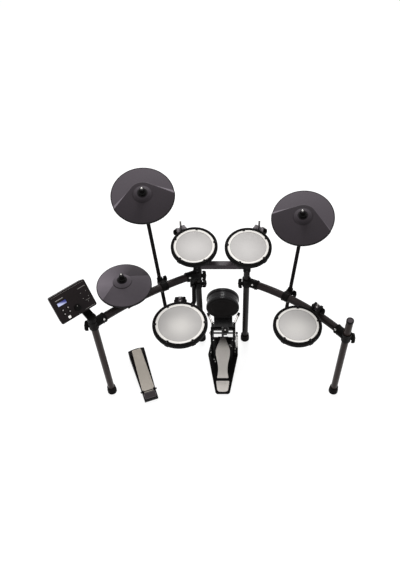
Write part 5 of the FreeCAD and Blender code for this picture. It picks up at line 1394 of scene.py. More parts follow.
@dataclass(frozen=True)
class Module:
    """Sound module: the case, its lit display, buttons, dial, printed lines, and the sockets on its back."""

    yaw: float = 40.7
    slope: float = 53.2
    depth: float = 46.0
    hinge_side: float = 43.0
    hinge_up: float = 43.0
    hinge_back: float = 11.0
    display: tuple[float, float, float, float] = (-47.5, 20.0, 44.0, 17.0)
    button_first: Pair = (-59.0, -11.0)
    button_pitch: float = 26.0
    button_row: float = 20.0
    lit: Triple = (-46.5, -53.5, 12.0)
    dial: Triple = (5.5, -35.0, 15.0)
    lines: tuple[tuple[float, float, float, float], ...] = (
        (-51.8, 41.2, 40.0, 3.2), (64.2, 40.4, 38.0, 2.0), (65.6, -24.8, 22.0, 1.1), (60.2, -61.8, 50.0, 1.3),
        (0.0, 61.5, 166.0, 0.7))
    dots: tuple[Pair, ...] = (
        (75.0, 16.5), (75.7, -11.8), (64.1, -33.0), (48.0, 16.5), (48.0, -11.8))
    jack_first: Pair = (-66.0, 44.0)
    jack_pitch: float = 22.0
    jacks: int = 7
    vent_first: Pair = (34.0, 22.0)
    vent_pitch: float = 6.5
    vents: int = 7
    screw_corner: Pair = (76.0, 53.0)
    glow_pale: Colour = (198, 205, 240)
    glow_deep: Colour = (38, 46, 128)
    glow_bars: Colour = (90, 100, 170)
    glow_power: float = 0.45

    @cached_property
    def place(self) -> Place:
        """Frame of the case's face: x along its width, y up its slope, z out of it."""
        yaw, slope = math.radians(self.yaw), math.radians(self.slope)
        across = np.array((math.cos(yaw), math.sin(yaw), 0))
        rise = np.cross(UP, across) * math.cos(slope) + UP * math.sin(slope)
        normal = np.cross(across, rise)
        middle = joint_point("module_tilt") - across * self.hinge_side + rise * self.hinge_up
        return Place.on(middle + normal * (self.depth + self.hinge_back), normal, across)

    def build(self) -> None:
        """Dress the case and the bracket and add what stands on the face and the back."""
        Builder.dress(CASE_PLASTIC, "module_case")
        Builder.dress(NYLON, "module_bracket")
        Builder.dress(DIAL_PLASTIC, "button_1", "button_2", "button_3", "button_4")
        self.screen()
        self.controls()
        self.prints()
        self.back()

    def screen(self) -> None:
        """Lit glass in the recess and the thin frame round it."""
        x, y, width, height = self.display
        middle = self.place.shifted(x, y)
        glass = slab(box_outline(width - 0.6, height - 0.6, 1.0), -0.95, -0.25, 0.2)
        look = self.display_material(middle)
        Builder.piece("module_display", glass.at(middle), "module", "lit_plastic", look)
        rim = bead(box_outline(width + 2.2, height + 2.2, 2.4, 6), 1.0, 0.7).at(middle.shifted(z=0.25))
        Builder.piece("module_display_frame", rim, "module", "module_plastic", DIAL_PLASTIC)

    def display_material(self, middle: Place) -> Material:
        """Blue glow that pales to the lower left, with plain level bars.

        Args:
            middle: frame at the middle of the display.
        Returns:
            The material.
        """
        made, tree, shader = principled("display_glow")
        vector = tree.node("ShaderNodeTexCoord").outputs["Object"]
        along, rise, _ = tree.split(tree.centred(vector, middle))
        _, _, width, height = self.display
        slant = tree.math("ADD", along, tree.math("MULTIPLY", rise, width / height * 0.9))
        paled = tree.ramp(slant, -0.4 * width * MM, 0.45 * width * MM)
        glow = tree.mix(paled, linear(self.glow_pale), linear(self.glow_deep))
        waves = tree.math("SINE", tree.math("MULTIPLY", along, 2 * math.pi / (4.0 * MM)))
        band = tree.math("ABSOLUTE", tree.math("ADD", rise, 3.4 * MM))
        bars = tree.math("MULTIPLY", tree.ramp(waves, 0.5, 0.8), tree.ramp(band, 2.4 * MM, 1.8 * MM))
        colour = tree.mix(tree.math("MULTIPLY", bars, 0.45), glow, linear(self.glow_bars))
        tree.fill(shader, {"Base Color": colour, "Emission Color": colour, "Roughness": 0.15,
                           "Emission Strength": self.glow_power})
        return made

    def controls(self) -> None:
        """Rings round the buttons, the lit button's cap and frame, and the ribbed dial with its mark."""
        x, y = self.button_first
        spots = [self.place.shifted(x + column * self.button_pitch, y - row * self.button_row)
                 for row in range(2) for column in range(2)]
        ring = ring_band(7.4, -0.1, 1.1, 2.4, 0.4, 40)
        Builder.piece("module_button_rings", ring.at(*spots), "module", "module_plastic", DIAL_PLASTIC)
        dome = stub(3.5, 1.0, 3.7, 0.5, 0.9, 5, 32)
        for index, spot in enumerate(spots):
            name = "button_%d" % (index + 1)
            Builder.piece(name + "_cap", dome.at(spot), name, "button_plastic", BUTTON_GREY)
        x, y, size = self.lit
        cap = slab(box_outline(size, size, 2.2), -0.6, 3.6, 0.8)
        middle = self.place.shifted(x, y)
        Builder.piece("lit_button_cap", cap.at(middle), "lit_button", "lit_plastic", LIT_WHITE,
                      ["lit_button"])
        rim = bead(box_outline(size + 3.4, size + 3.4, 3.0, 6), 1.3, 0.8).at(middle.shifted(z=0.3))
        Builder.piece("lit_button_frame", rim, "module", "module_plastic", DIAL_PLASTIC)
        self.dial_knob()

    def dial_knob(self) -> None:
        """Knob with ribs round its side, a dished top, a pale mark, and the ring that it turns in."""
        x, y, radius = self.dial
        at_dial = self.place.shifted(x, y)
        corners = [(0, 0.4), (radius, 0.4), (radius - 0.8, 11.2), (radius - 3.0, 11.6), (0, 10.2)]
        knob = turned(rounded(corners, 1.1, 5), 144, ripple=0.02, lobes=36).at(at_dial)
        Builder.piece("dial_knob", knob, "value_dial", "dial_plastic", DIAL_PLASTIC, ["value_dial"])
        mark = slab(box_outline(1.6, 7.0, 0.6), 10.9, 11.9, 0.25)
        Builder.piece("dial_mark", mark.at(at_dial.shifted(y=radius - 5.4)), "value_dial", "dial_plastic",
                      PRINT_GREY)
        ring = ring_band(radius + 3.2, -0.1, 1.0, 2.4, 0.4, 72)
        Builder.piece("dial_ring", ring.at(at_dial), "module", "module_plastic", CASE_PLASTIC)

    def prints(self) -> None:
        """Plain raised lines and dots on the face."""
        shapes = [slab(box_outline(length, width, 0.3 * width), -0.05, 0.28, 0.1).at(self.place.shifted(x, y))
                  for x, y, length, width in self.lines]
        dots = stub(1.7, -0.05, 0.7, 0.2, 0.3, 4, 24).at(*[self.place.shifted(x, y) for x, y in self.dots])
        prints = sum(shapes[1:], shapes[0]) + dots
        Builder.piece("module_prints", prints, "module", "module_plastic", PRINT_GREY)

    def back(self) -> None:
        """Sockets, vent ribs and corner screws on the case's back."""
        behind = self.place.shifted(z=-self.depth).facing((0, 0, -1), (-1, 0, 0))
        ring = lathed([(0, 0.4), (3.2, 0.4), (3.2, 2.2), (5.8, 2.2), (5.8, 0), (0, 0)], 0.4, 4, 32)
        x, y = self.jack_first
        holes = [behind.shifted(x + self.jack_pitch * index, y) for index in range(self.jacks)]
        Builder.piece("module_sockets", ring.at(*holes), "module", "pedal_chrome", PALE_TRIM)
        rib = slab(box_outline(58.0, 2.4, 1.0), -0.1, 1.6, 0.5)
        x, y = self.vent_first
        ribs = [behind.shifted(x, y - self.vent_pitch * index) for index in range(self.vents)]
        Builder.piece("module_vents", rib.at(*ribs), "module", "module_plastic", CASE_PLASTIC)
        x, y = self.screw_corner
        corners = [behind.shifted(side * x, rise * y) for side in SIDES for rise in SIDES]
        Builder.screws("module_screws", (3.6, 1.8), corners, "module", DARK_STEEL)


@dataclass(frozen=True)
class KickTower:
    """Upright kick pad: barrel with two hoops, padded head, column, base, and struts with rubber tips."""

    rim: float = 90.5
    waist: float = 85.5
    length: float = 72.0
    hoop: float = 16.0
    face_y: float = -17.0
    axis_height: float = 309.0
    mouth: float = 83.3
    head: float = 82.7
    head_depth: float = 12.0
    crown: float = 3.0
    strut_start: Triple = (64.0, 96.0, 8.5)
    strut_run: Pair = (26.0, 72.0)

    @cached_property
    def place(self) -> Place:
        """Frame of the pad: zero at the middle of its face, z towards the drummer."""
        return Place.on((0, self.face_y, self.axis_height), NEAR)

    def build(self) -> None:
        """Dress the column and the base, and make the barrel, the head and the struts."""
        Builder.dress(KICK_PLASTIC, "kick_column")
        Builder.dress(PEDAL_BLACK, "kick_base")
        self.barrel()
        self.padded_head()
        self.struts()
        self.column_trim()

    def barrel(self) -> None:
        """Barrel turned about its axis, its hoops eased and each marked by a groove."""
        back, hoop = -self.length, self.hoop
        groove = [(self.rim, 0.5), (self.rim - 0.8, 0.55), (self.rim, 0.6), (self.rim, 1.0)]
        floor = -self.head_depth - 0.4
        corners = [(0, back), (self.rim, back), *[(reach, back + hoop * share) for reach, share in groove],
                   (self.waist, back + hoop + 4), (self.waist, -hoop - 4),
                   *[(reach, -hoop * share) for reach, share in reversed(groove)],
                   (self.rim, 0), (self.mouth, 0), (self.mouth, floor), (0, floor)]
        shape = lathed(corners, 2.4, 5, 128)
        Builder.piece("kick_barrel", shape.at(self.place), "stand", "kick_plastic", KICK_PLASTIC,
                      ["kick_shell"])
        belt = self.place.shifted(z=-self.length / 2)
        screws = [belt.spun(angle).shifted(self.waist - 0.4).facing((1, 0, 0), (0, 0, 1))
                  for angle in range(30, 390, 60)]
        Builder.screws("kick_barrel_screws", (4.2, 2.6), screws, "stand", DARK_STEEL)

    def padded_head(self) -> None:
        """Rubber pad: a crown of h (1 - (r/R)^2) inside a raised ring, closed at the back."""
        share = np.linspace(0, 1, 14)
        inner = 0.76 * self.head
        dome = np.stack((inner * share, self.crown * (1 - share**2) * 0.55 + self.crown * 0.35), axis=-1)
        border = rounded([(inner, self.crown * 0.35), (inner + 1.6, -0.3), (inner + 3.4, 0.9),
                          (self.head - 3, 0.6), (self.head, -2.0), (self.head, -self.head_depth),
                          (0, -self.head_depth)], 1.2, 5)
        shape = turned(np.concatenate((dome, border[1:])), 96).at(self.place)
        look = KICK_RUBBER.material(self.place, "kick")
        made = Builder.piece("kick_pad", shape, "stand", "kick_rubber", look, ["kick_head"])

    def struts(self) -> None:
        """Chromed tubes over the base's struts, and their rubber tips."""
        x, y, z = self.strut_start
        out, back = self.strut_run
        tubes, tips = [], []
        for side in SIDES:
            start = np.array((side * (x + 0.12 * out), y + 0.12 * back, z))
            end = np.array((side * (x + out), y + back, z))
            tubes.append(swept(np.linspace(start, end, 12), ring_outline(6.6, 5.6, 24)))
            tips.append(Place.on(end, end - start, UP))
        Builder.piece("kick_struts", tubes[0] + tubes[1], "stand", "kick_steel", ROD_STEEL)
        tip = lathed([(0, -12.5), (7.0, -12.5), (8.5, -9.0), (8.5, 9.0), (6.5, 11.6), (0, 11.8)], 1.4, 5, 40)
        Builder.piece("kick_strut_tips", tip.at(*tips), "stand", "foot_rubber", FOOT_RUBBER)

    def column_trim(self) -> None:
        """Two ribs up the column's near face, the base's lip and the screws of its foot."""
        low, _ = node_box("kick_column")
        rib = slab(box_outline(9.0, 196.0, 4.0), -0.5, 2.2, 0.9)
        spots = [Place.on((side * 34.0, low[1], 108.0), NEAR) for side in SIDES]
        Builder.piece("kick_column_ribs", rib.at(*spots), "stand", "kick_plastic", KICK_PLASTIC)
        lip = slab(box_outline(108.0, 22.0, 3.0), 0.0, 5.6, 0.8).at(Place.on((0, -11.0, 0), UP))
        Builder.piece("kick_base_lip", lip, "stand", "kick_plastic", PEDAL_BLACK)
        screws = [Place.on((side * 62.0, y, 8.0), UP) for side in SIDES for y in (66.0, 100.0)]
        Builder.screws("kick_base_screws", (4.4, 2.8), screws, "stand")


@dataclass(frozen=True)
class Tread:
    """Surface of a footboard: raised rims along its sides, low ribs across it and eased corners.

    The corner is (inset, run), the rim (height, place, width, run-in), the ribs (height, pitch, lowest
    cosine) and the ribbed part (side share, run-in, start).
    """

    thickness: float
    bluntness: int
    corner: Pair
    rim: tuple[float, float, float, float]
    ribs: Triple
    ribbed: Triple

    def rings(self, y: np.ndarray, half: np.ndarray) -> np.ndarray:
        """Sections across the board.

        Across it s runs from -1 to 1. Both faces stand at t/2 sqrt(1 - |s|^n). The rim adds a bell curve of
        |s|, and the ribs add a cosine along the length that fades at the sides and ends.

        Args:
            y: places along the board.
            half: half-width at each place.
        Returns:
            Points of the sections, one row for each place.
        """
        ends = np.minimum(y - y[0], y[-1] - y)[:, None]
        inset, run = self.corner
        half = half[:, None] - inset * (1 - np.clip(ends / run, 0, 1)) ** 2
        top = np.sin(np.linspace(-np.pi / 2, np.pi / 2, 33))[None, :]
        low = np.sin(np.linspace(np.pi / 2, -np.pi / 2, 17))[None, 1:-1]
        height, middle, width, run = self.rim
        swell = height * np.exp(-(((np.abs(top) - middle) / width) ** 2)) * np.clip(ends / run, 0, 1)
        side, run, start = self.ribbed
        fade = np.clip(1 - (top / side) ** 8, 0, 1) * np.clip(ends / run - start, 0, 1)
        height, pitch, lowest = self.ribs
        ribs = height * fade * np.clip(np.cos(2 * np.pi * y[:, None] / pitch), lowest, 1)
        thick = self.thickness / 2
        over = thick * np.sqrt(1 - np.abs(top) ** self.bluntness) + swell + ribs
        under = -thick * np.sqrt(1 - np.abs(low) ** self.bluntness) + 0 * half
        across = np.concatenate((half * top, half * low), axis=1)
        along = np.broadcast_to(y[:, None], across.shape)
        return np.stack((across, along, np.concatenate((over, under), axis=1)), axis=-1)


@dataclass(frozen=True)
class KickPedal:
    """Bass pedal: cast footboard, heel plate, base with rims, posts, beater, chain and return spring."""

    heel_half: float = 36.0
    heel_end_half: float = 25.5
    heel_length: float = 68.0
    heel_gap: float = 9.0
    board_slope: float = 19.0
    board_stations: tuple[float, ...] = (7.0, 24.0, 59.0, 88.0, 122.0, 162.0, 196.0, 220.0, 240.0)
    board_halves: tuple[float, ...] = (32.4, 29.0, 26.0, 29.0, 36.0, 39.6, 31.5, 20.0, 14.4)
    tread: Tread = Tread(5.0, 12, (3.0, 4.0), (0.9, 0.9, 0.07, 8.0), (0.55, 9.0, 0.0), (0.78, 18.0, 0.6))
    clip_tone: float = -0.8
    knuckle: Pair = (6.0, 29.0)
    cam_radius: float = 30.0
    chain_pitch: float = 9.5
    chain_thickness: float = 4.0
    chain_spreads: Pair = (3.0, 4.2)
    chain_hanging: int = 9
    chain_wrapped: int = 4
    spring_x: float = 78.0
    spring_lever: float = 15.0
    spring_length: float = 112.0
    spring_radius: float = 6.1
    spring_turns: int = 18
    spring_give: float = 34.0
    beater_x: float = 15.0
    beater_lean: float = 29.5
    beater_length: float = 135.0
    post_face: float = 68.0
    rim_height: float = 6.2
    rim_corners: tuple[Pair, ...] = (
        (66.0, -24.0), (83.0, -117.0), (38.4, -362.0), (29.0, -371.0))
    base_top: float = 6.0
    base_screws: tuple[Pair, ...] = (
        (-50.0, -152.0), (-43.0, -166.0), (40.0, -52.0), (47.0, -61.0))

    def build(self) -> None:
        """Dress the cast parts and make the moving pieces."""
        Builder.dress(PEDAL_BLACK, "pedal_base", "pedal_frame")
        Builder.dress(DARK_STEEL, "beater_axle")
        self.footboard()
        self.heel_plate()
        self.base_rims()
        self.frame_trim()
        self.beater()
        self.chain()
        self.spring()

    def board_place(self) -> Place:
        """Frame of the footboard: zero on its hinge, y up its slope."""
        return Place.on(joint_point("footboard_press"), leaned(self.board_slope))

    def footboard(self) -> None:
        """Waisted board with the chain's block on it, and its hinge with a tongue under the board.

        Half-width is the sixth-degree curve fitted to the stations. The tone falls to the toe by a power of
        the length as painted shade, and a little at the waist by a bell curve.
        """
        first, last = self.board_stations[0], self.board_stations[-1]
        curve = np.polyfit(np.array(self.board_stations) / last, self.board_halves, 6)
        y = np.linspace(first, last, 110)
        rings = self.tread.rings(y, np.polyval(curve, y / last))
        place = self.board_place()
        radius, side = self.knuckle
        hinge = stub(radius, -side, side).at(place.facing((1, 0, 0), (0, 1, 0)))
        thick = self.tread.thickness / 2
        tongue = slab(box_outline(2 * side, 16.0, 1.5), -thick, thick - 1.0, 0.8).at(place.shifted(y=8.0))
        # toe: painted shade that deepens towards the toe; waist: a slight darkening at the waist.
        toe, waist = np.clip((y - 176.0) / 58.0, 0, 1) ** 1.2, np.exp(-(((y - 60.0) / 30.0) ** 2))
        shade = np.broadcast_to((-1.0 * toe - 0.12 * waist)[:, None], rings.shape[:2])
        block = self.clip()
        tone = np.concatenate((shade[:1], shade, shade[-1:])).ravel()
        tone = np.concatenate((tone, np.full(len(block.points), self.clip_tone)))
        board = replace(lofted(rings).at(place) + block, tone=tone)
        look = PEDAL_ALLOY.material(place, "board")
        Builder.piece("pedal_board", board, "footboard", "pedal_alloy", look, ["footboard"])
        Builder.piece("pedal_hinge", hinge + tongue, "footboard", "pedal_alloy", PEDAL_BLACK, ["footboard"])

    def chain_line(self) -> Pair:
        """Depth of the hanging chain and height of the axle."""
        axle = joint_point("beater_swing")
        return axle[1] + self.cam_radius + 0.3 + self.chain_thickness / 2, axle[2]

    def clip(self) -> Patch:
        """Block on the board's toe that the chain is pinned to.

        Returns:
            The block.
        """
        depth, axle = self.chain_line()
        hinge = joint_point("footboard_press")
        low = hinge[2] + (depth - hinge[1]) * math.tan(math.radians(self.board_slope))
        high = axle - self.chain_hanging * self.chain_pitch
        return slab(box_outline(13.0, 9.0, 1.6), low, high + 2.0, 0.9).at(Place.on((0, depth, 0), UP))

    def heel_plate(self) -> None:
        """Silver plate with round near corners and low ribs."""
        hinge = joint_point("footboard_press")
        near, far = -self.heel_gap - self.heel_length, -self.heel_gap
        end, wide = self.heel_end_half, self.heel_half
        right = [(end - 7.0, near), (end + 2.0, near + 6.0), (end + 5.0, near + 16.0), (wide, far - 5.0),
                 (wide - 2.0, far)]
        outline = rounded(right + [(-x, y) for x, y in reversed(right)], 7.0, 6, closed=True)
        place = Place.on((0, hinge[1], hinge[2] - 4.0), UP)
        shape = slab(outline, 0.0, 4.0, 0.9).at(place)
        rib = slab(box_outline(40.0, 2.6, 1.2), 3.9, 4.6, 0.3)
        ribs = rib.at(*[place.shifted(y=far - 18.0 - 8.0 * index) for index in range(5)])
        Builder.piece("pedal_heel", shape + ribs, "stand", "pedal_alloy", PEDAL_ALLOY.material(place, "heel"),
                      ["pedal_heel_plate"])

    def base_rims(self) -> None:
        """Raised rims along the base's long edges, and four screws in the base."""
        section = ring_outline(2.6, 2.4, 14, 3.0)
        paths = [[(side * x, y, self.rim_height) for x, y in self.rim_corners] for side in SIDES]
        left, right = (swept(rounded(path, 12.0, 9), section) for path in paths)
        Builder.piece("pedal_base_rims", left + right, "stand", "pedal_alloy", PEDAL_BLACK)
        screws = [Place.on((x, y, self.base_top), UP) for x, y in self.base_screws]
        Builder.screws("pedal_base_screws", (3.8, 2.4), screws, "stand")

    def frame_trim(self) -> None:
        """Bearing caps at the axle's ends, and the screws at the posts' feet."""
        _, y, z = joint_point("beater_swing")
        corners = [(5.6, -0.2), (11.0, -0.2), (11.0, 2.2), (8.4, 3.0), (5.6, 3.0)]
        cap = lathed(corners, 0.8, 4, 40, closed=True)
        spots = [Place.on((side * self.post_face, y, z), RIGHT * side, UP) for side in SIDES]
        Builder.piece("pedal_bearings", cap.at(*spots), "stand", "pedal_chrome", BRIGHT_STEEL)
        feet = [Place.on((side * self.post_face, y + step * 11.0, 22.0), RIGHT * side, UP)
                for side in SIDES for step in SIDES]
        Builder.screws("pedal_post_screws", (4.4, 2.8), feet, "stand")

    def beater(self) -> None:
        """Chromed rod with its stop ring, and a felt head with eased faces."""
        place = Place.on(joint_point("beater_swing") + RIGHT * self.beater_x, leaned(self.beater_lean))
        rod = stub(3.7, 10.0, self.beater_length + 20.5, 1.0, 1.2, 4, 28)
        rod = (rod + ring_band(7.5, 13.0, 22.0, 3.6, 1.2, 32)).at(place)
        Builder.piece("beater_rod", rod, "beater", "pedal_chrome", BRIGHT_STEEL, ["beater"])
        head = lathed([(0, -18.0), (17.5, -18.0), (18.8, 0.0), (17.5, 18.0), (0, 18.0)], 7.0, 7, 48)
        at_head = place.shifted(z=self.beater_length).facing((0, 1, 0), (1, 0, 0))
        Builder.piece("beater_head", head.at(at_head), "beater", "beater_felt", FELT, ["beater"])

    def link(self, spread: float) -> Patch:
        """One link along local z: two waisted side plates and the roller between them.

        A plate's half-width is 2 sin a (1 - 0.18 cos(2a + pi)), and its height runs as -cos a.

        Args:
            spread: distance from the middle to each plate.
        Returns:
            The link.
        """
        half = self.chain_pitch / 2
        angle = around(20)
        wide = 2.0 * np.sin(angle) * (1 - 0.18 * np.cos(angle * 2 + np.pi))
        side = slab(np.stack((wide, (half + 1.4) * -np.cos(angle)), axis=-1), -0.5, 0.5, 0.2)
        at_side = [Place.on((x, 0, 0), RIGHT, AWAY) for x in (-spread, spread)]
        roller = stub(1.9, -3.1, 3.1, 0.0, 0.4, 3, 16)
        return side.at(*at_side) + roller.at(Place.on((0, 0, half), RIGHT, UP))

    def links(self, spots: list[Place]) -> Patch:
        """Inner and outer links by turns."""
        inner, outer = self.chain_spreads
        return self.link(inner).at(*spots[::2]) + self.link(outer).at(*spots[1::2])

    def chain(self) -> None:
        """Hanging links move with the footboard, and wrapped links turn with the cam."""
        depth, axle = self.chain_line()
        middle = joint_point("beater_swing")
        hanging = [Place.on((0, depth, axle - (index + 0.5) * self.chain_pitch), UP)
                   for index in range(self.chain_hanging)]
        Builder.piece("chain_hanging", self.links(hanging), "footboard", "pedal_chrome", BRIGHT_STEEL,
                      ["pedal_chain"])
        reach = depth - middle[1]
        wrapped = []
        for index in range(self.chain_wrapped):
            turn = (index + 0.5) * self.chain_pitch / (self.cam_radius + 0.3)
            out = np.array((0, math.cos(turn), math.sin(turn)))
            wrapped.append(Place.on(middle + out * reach, (0, -math.sin(turn), math.cos(turn))))
        Builder.piece("chain_wrapped", self.links(wrapped), "beater", "pedal_chrome", BRIGHT_STEEL,
                      ["pedal_chain"])

    def spring(self) -> None:
        """Helix of wire: r (cos a, sin a), rising evenly. It stretches between the stand and the beater."""
        axle = joint_point("beater_swing")
        middle = np.array((self.spring_x, axle[1] - self.spring_lever, 0))
        top = axle[2] - 4.2
        low = top - self.spring_length
        share = np.linspace(0, 1, self.spring_turns * 20)
        angle = 2 * np.pi * self.spring_turns * share
        coil = middle + np.stack((self.spring_radius * np.cos(angle), self.spring_radius * np.sin(angle),
                                  low + self.spring_length * share), axis=-1)
        wire = swept(coil, ring_outline(0.98, 0.98, 10))
        made = Builder.piece("return_spring", wire, "", "pedal_chrome", BRIGHT_STEEL, ["pedal_spring"])
        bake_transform(made)


@dataclass(frozen=True)
class HatPedal:
    """Hi-hat control pedal: the wedge base, its board, the hinge studs and the heel panel."""

    turn: float = 20.3
    slope: float = 15.9
    length: float = 248.0
    start: float = -6.5
    heel_half: float = 35.4
    toe_half: float = 25.4
    neck: Pair = (28.3, 8.6)
    tread: Tread = Tread(6.0, 14, (4.0, 5.0), (0.7, 0.93, 0.05, 6.0), (0.28, 11.0, -1.0), (0.8, 20.0, 0.8))
    hinge_height: float = 18.0
    knuckle: Pair = (3.4, 29.0)
    stud_x: float = 42.0
    heel_middle: float = -33.0
    heel_height: float = 24.0

    @cached_property
    def place(self) -> Place:
        """Frame of the pedal: zero on the floor under its hinge, y towards its toe."""
        turn = math.radians(self.turn)
        across = (math.cos(turn), math.sin(turn), 0)
        return Place.on(joint_point("hat_footboard_press") - UP * self.hinge_height, UP, across)

    def build(self) -> None:
        """Dress the base and make the board and the trim."""
        Builder.dress(PEDAL_BLACK, "hat_pedal_base")
        self.board()
        stud = stub(5.6, -1.0, 3.0, 2.0, 1.6, 5, 28)
        hinge = self.place.shifted(z=self.hinge_height)
        spots = [hinge.shifted(side * (self.stud_x - 0.6)).facing((side, 0, 0), (0, 0, 1)) for side in SIDES]
        Builder.piece("hat_studs", stud.at(*spots), "stand", "pedal_chrome", DARK_STEEL)
        top = self.place.shifted(y=self.heel_middle, z=self.heel_height)
        panel = slab(box_outline(60.0, 34.0, 4.0), -0.4, 0.7, 0.3)
        Builder.piece("hat_heel_panel", panel.at(top), "stand", "kick_rubber", PANEL_GREY)
        rim = bead(box_outline(62.0, 36.0, 5.0, 6), 0.9, 1.0)
        Builder.piece("hat_heel_rim", rim.at(top), "stand", "kick_rubber", HOLDER_GREY)

    def board(self) -> None:
        """Tapered board: half-width falls evenly to the toe, with a neck between the hinge lugs."""
        tilt = self.place.shifted(z=self.hinge_height).facing(leaned(self.slope), (1, 0, 0))
        neck_half, neck_end = self.neck
        y = np.concatenate((np.linspace(self.start, neck_end, 7),
                            np.linspace(neck_end + 0.4, self.length, 84)))
        taper = (self.toe_half - self.heel_half) * (y - self.start) / (self.length - self.start)
        rings = self.tread.rings(y, np.where(y > neck_end, self.heel_half + taper, neck_half))
        radius, side = self.knuckle
        barrel = stub(radius, -side, side, ease=1.0).at(tilt.facing((1, 0, 0), (0, 1, 0)))
        look = HAT_BOARD.material(tilt, "hat")
        Builder.piece("hat_board", lofted(rings).at(tilt) + barrel, "hat_footboard", "hat_board", look,
                      ["hat_footboard"])


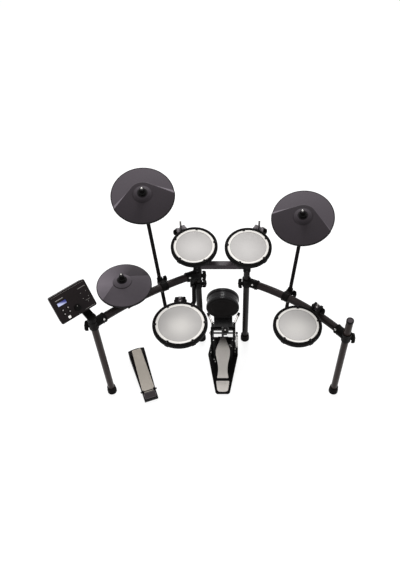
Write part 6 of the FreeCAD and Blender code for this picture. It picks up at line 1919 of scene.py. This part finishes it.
@dataclass(frozen=True)
class Studio:
    """Pale floor, white surroundings, soft lamps and the camera."""

    camera_place: Triple = (0.04635, -2.10614, 2.99792)
    camera_pitch: float = 40.0
    lens: float = 39.18
    shift_x: float = -0.0546
    floor_half: float = 14.0
    ambient: float = 0.5
    floor_grey: float = 0.3
    floor_glow: float = 0.82

    def build(self) -> None:
        self.world()
        self.floor()
        middle, front = (0.0, 0.0, 0.5), (0.0, -0.1, 0.5)
        self.lamp("back", (-0.5, 2.3, 3.3), middle, size=(2.6, 1.1), power=78.0)
        self.lamp("left", (-2.6, -1.2, 3.0), front, size=(1.2, 1.2), power=24.0)
        self.lamp("right", (2.8, -1.4, 2.6), front, size=(1.2, 1.2), power=14.0)
        self.lamp("strip", (0.0, 2.3, 2.9), middle, size=(0.8, 0.5), power=30.0, mirrored=True)
        self.camera()
        bpy.context.scene.view_settings.view_transform = "Standard"

    def _seen(self, tree: Tree) -> Socket:
        """One for rays from the camera, a mirror or glass, else zero.

        Args:
            tree: tree of the material or the world.
        Returns:
            The value.
        """
        path = tree.node("ShaderNodeLightPath").outputs
        first = tree.math("MAXIMUM", path["Is Camera Ray"], path["Is Glossy Ray"])
        return tree.math("MAXIMUM", first, path["Is Transmission Ray"])

    def world(self) -> None:
        """White where it is seen, and a plain soft light otherwise."""
        made = bpy.data.worlds.new("studio")
        made.use_nodes = True
        bpy.context.scene.world = made
        tree = Tree(made.node_tree)
        seen = tree.node("ShaderNodeBackground", {"Color": WHITE})
        soft = tree.node("ShaderNodeBackground", {"Color": WHITE, "Strength": self.ambient})
        both = tree.node("ShaderNodeMixShader", {0: self._seen(tree), 1: soft.outputs[0], 2: seen.outputs[0]})
        tree.node("ShaderNodeOutputWorld", {"Surface": both.outputs[0]})

    def floor(self) -> None:
        half = self.floor_half
        steps = np.linspace(-half, half, 9)
        x, y = np.meshgrid(steps, steps)
        points = np.stack((x, y, np.zeros_like(x)), axis=-1)
        patch = Patch.grid(points, close_columns=False)
        mesh = bpy.data.meshes.new("floor")
        mesh.from_pydata(patch.points.tolist(), [], patch.faces.tolist())
        made = bpy.data.objects.new("floor", mesh)
        bpy.context.scene.collection.objects.link(made)
        paint = bpy.data.materials.new("floor_paint")
        paint.use_nodes = True
        tree = Tree(paint.node_tree)
        grey = (self.floor_grey,) * 3 + (1.0,)
        matte = tree.node("ShaderNodeBsdfDiffuse", {"Color": grey}).outputs[0]
        strength = tree.math("MULTIPLY", self._seen(tree), self.floor_glow)
        glow = tree.node("ShaderNodeEmission", {"Strength": strength}).outputs[0]
        both = tree.node("ShaderNodeAddShader", {0: matte, 1: glow})
        tree.node("ShaderNodeOutputMaterial", {"Surface": both.outputs[0]})
        mesh.materials.append(paint)

    def lamp(self, name: str, spot: Sequence[float], goal: Sequence[float], size: Pair,
             power: float, mirrored: bool = False) -> None:
        """Soft rectangular lamp that faces a point.

        Args:
            name: the lamp's name.
            spot: where it stands, in metres.
            goal: point that it faces.
            size: its width and height.
            power: its power in watts.
            mirrored: whether glossy surfaces show it.
        """
        data = bpy.data.lights.new(name, "AREA")
        data.shape = "RECTANGLE"
        data.size, data.size_y = size
        data.energy = power
        made = bpy.data.objects.new(name, data)
        bpy.context.scene.collection.objects.link(made)
        made.visible_glossy = mirrored
        aim = Place.on(np.array(spot), np.array(spot) - np.array(goal))
        made.matrix_world = Matrix.Translation(spot) @ Matrix(aim.axes.T.tolist()).to_4x4()

    def camera(self) -> None:
        data = bpy.data.cameras.new("camera")
        data.sensor_width = 36.0
        data.lens = self.lens
        data.shift_x = self.shift_x
        data.clip_end = 60.0
        made = bpy.data.objects.new("camera", data)
        made.location = self.camera_place
        made.rotation_euler = (math.radians(self.camera_pitch), 0, 0)
        bpy.context.scene.collection.objects.link(made)
        bpy.context.scene.camera = made


def main() -> None:
    logging.basicConfig(level=logging.INFO, format="%(name)s: %(message)s")
    Studio().build()
    Rack().build()
    large = {"diameter": 302.0, "border": 63.0}
    # tones: the struck part, and the plain part at its right and at its left end; the change from right to
    # left is painted sheen.
    for cymbal in (Cymbal("crash", tilt=18.6, side_tilt=3.0, back_span=(70.7, 147.0), ramps=(15.0, 14.0),
                          tones=(0.05, 0.32, 0.36), **large),
                   Cymbal("ride", tilt=16.0, side_tilt=-7.9, back_span=(31.0, 103.6), ramps=(5.0, 12.0),
                          tones=(0.05, 0.34, 0.38), **large),
                   Cymbal("hihat", tilt=2.0, side_tilt=2.0, back_span=(99.4, 154.4), ramps=(0.0, 0.0),
                          tones=(0.38, 0.12, 0.92), diameter=268.0, border=26.0, offset=(10.0, -16.0))):
        cymbal.build()
    small = {"rim": 118.0, "tabs": 5, "mesh": 89.8}
    rack_tom = {"tilt": 8.0, "block": HOLDER_GREY, "skin": TOM_MESH, **small}
    for pad in (DrumPad("snare", rim=133.0, tabs=6, mesh=103.6, drum=23.0, drum_finish=BAR_COAT),
                DrumPad("tom_one", grip_side=-1, **rack_tom),
                DrumPad("tom_two", grip_side=1, **rack_tom),
                DrumPad("floor_tom", grip_side=1, block=None, drum_body="right_wing", drum_finish=BAR_COAT,
                        skin=FLOOR_MESH, **small)):
        pad.build()
    Module().build()
    KickTower().build()
    KickPedal().build()
    HatPedal().build()


if __name__ == "__main__":
    main()
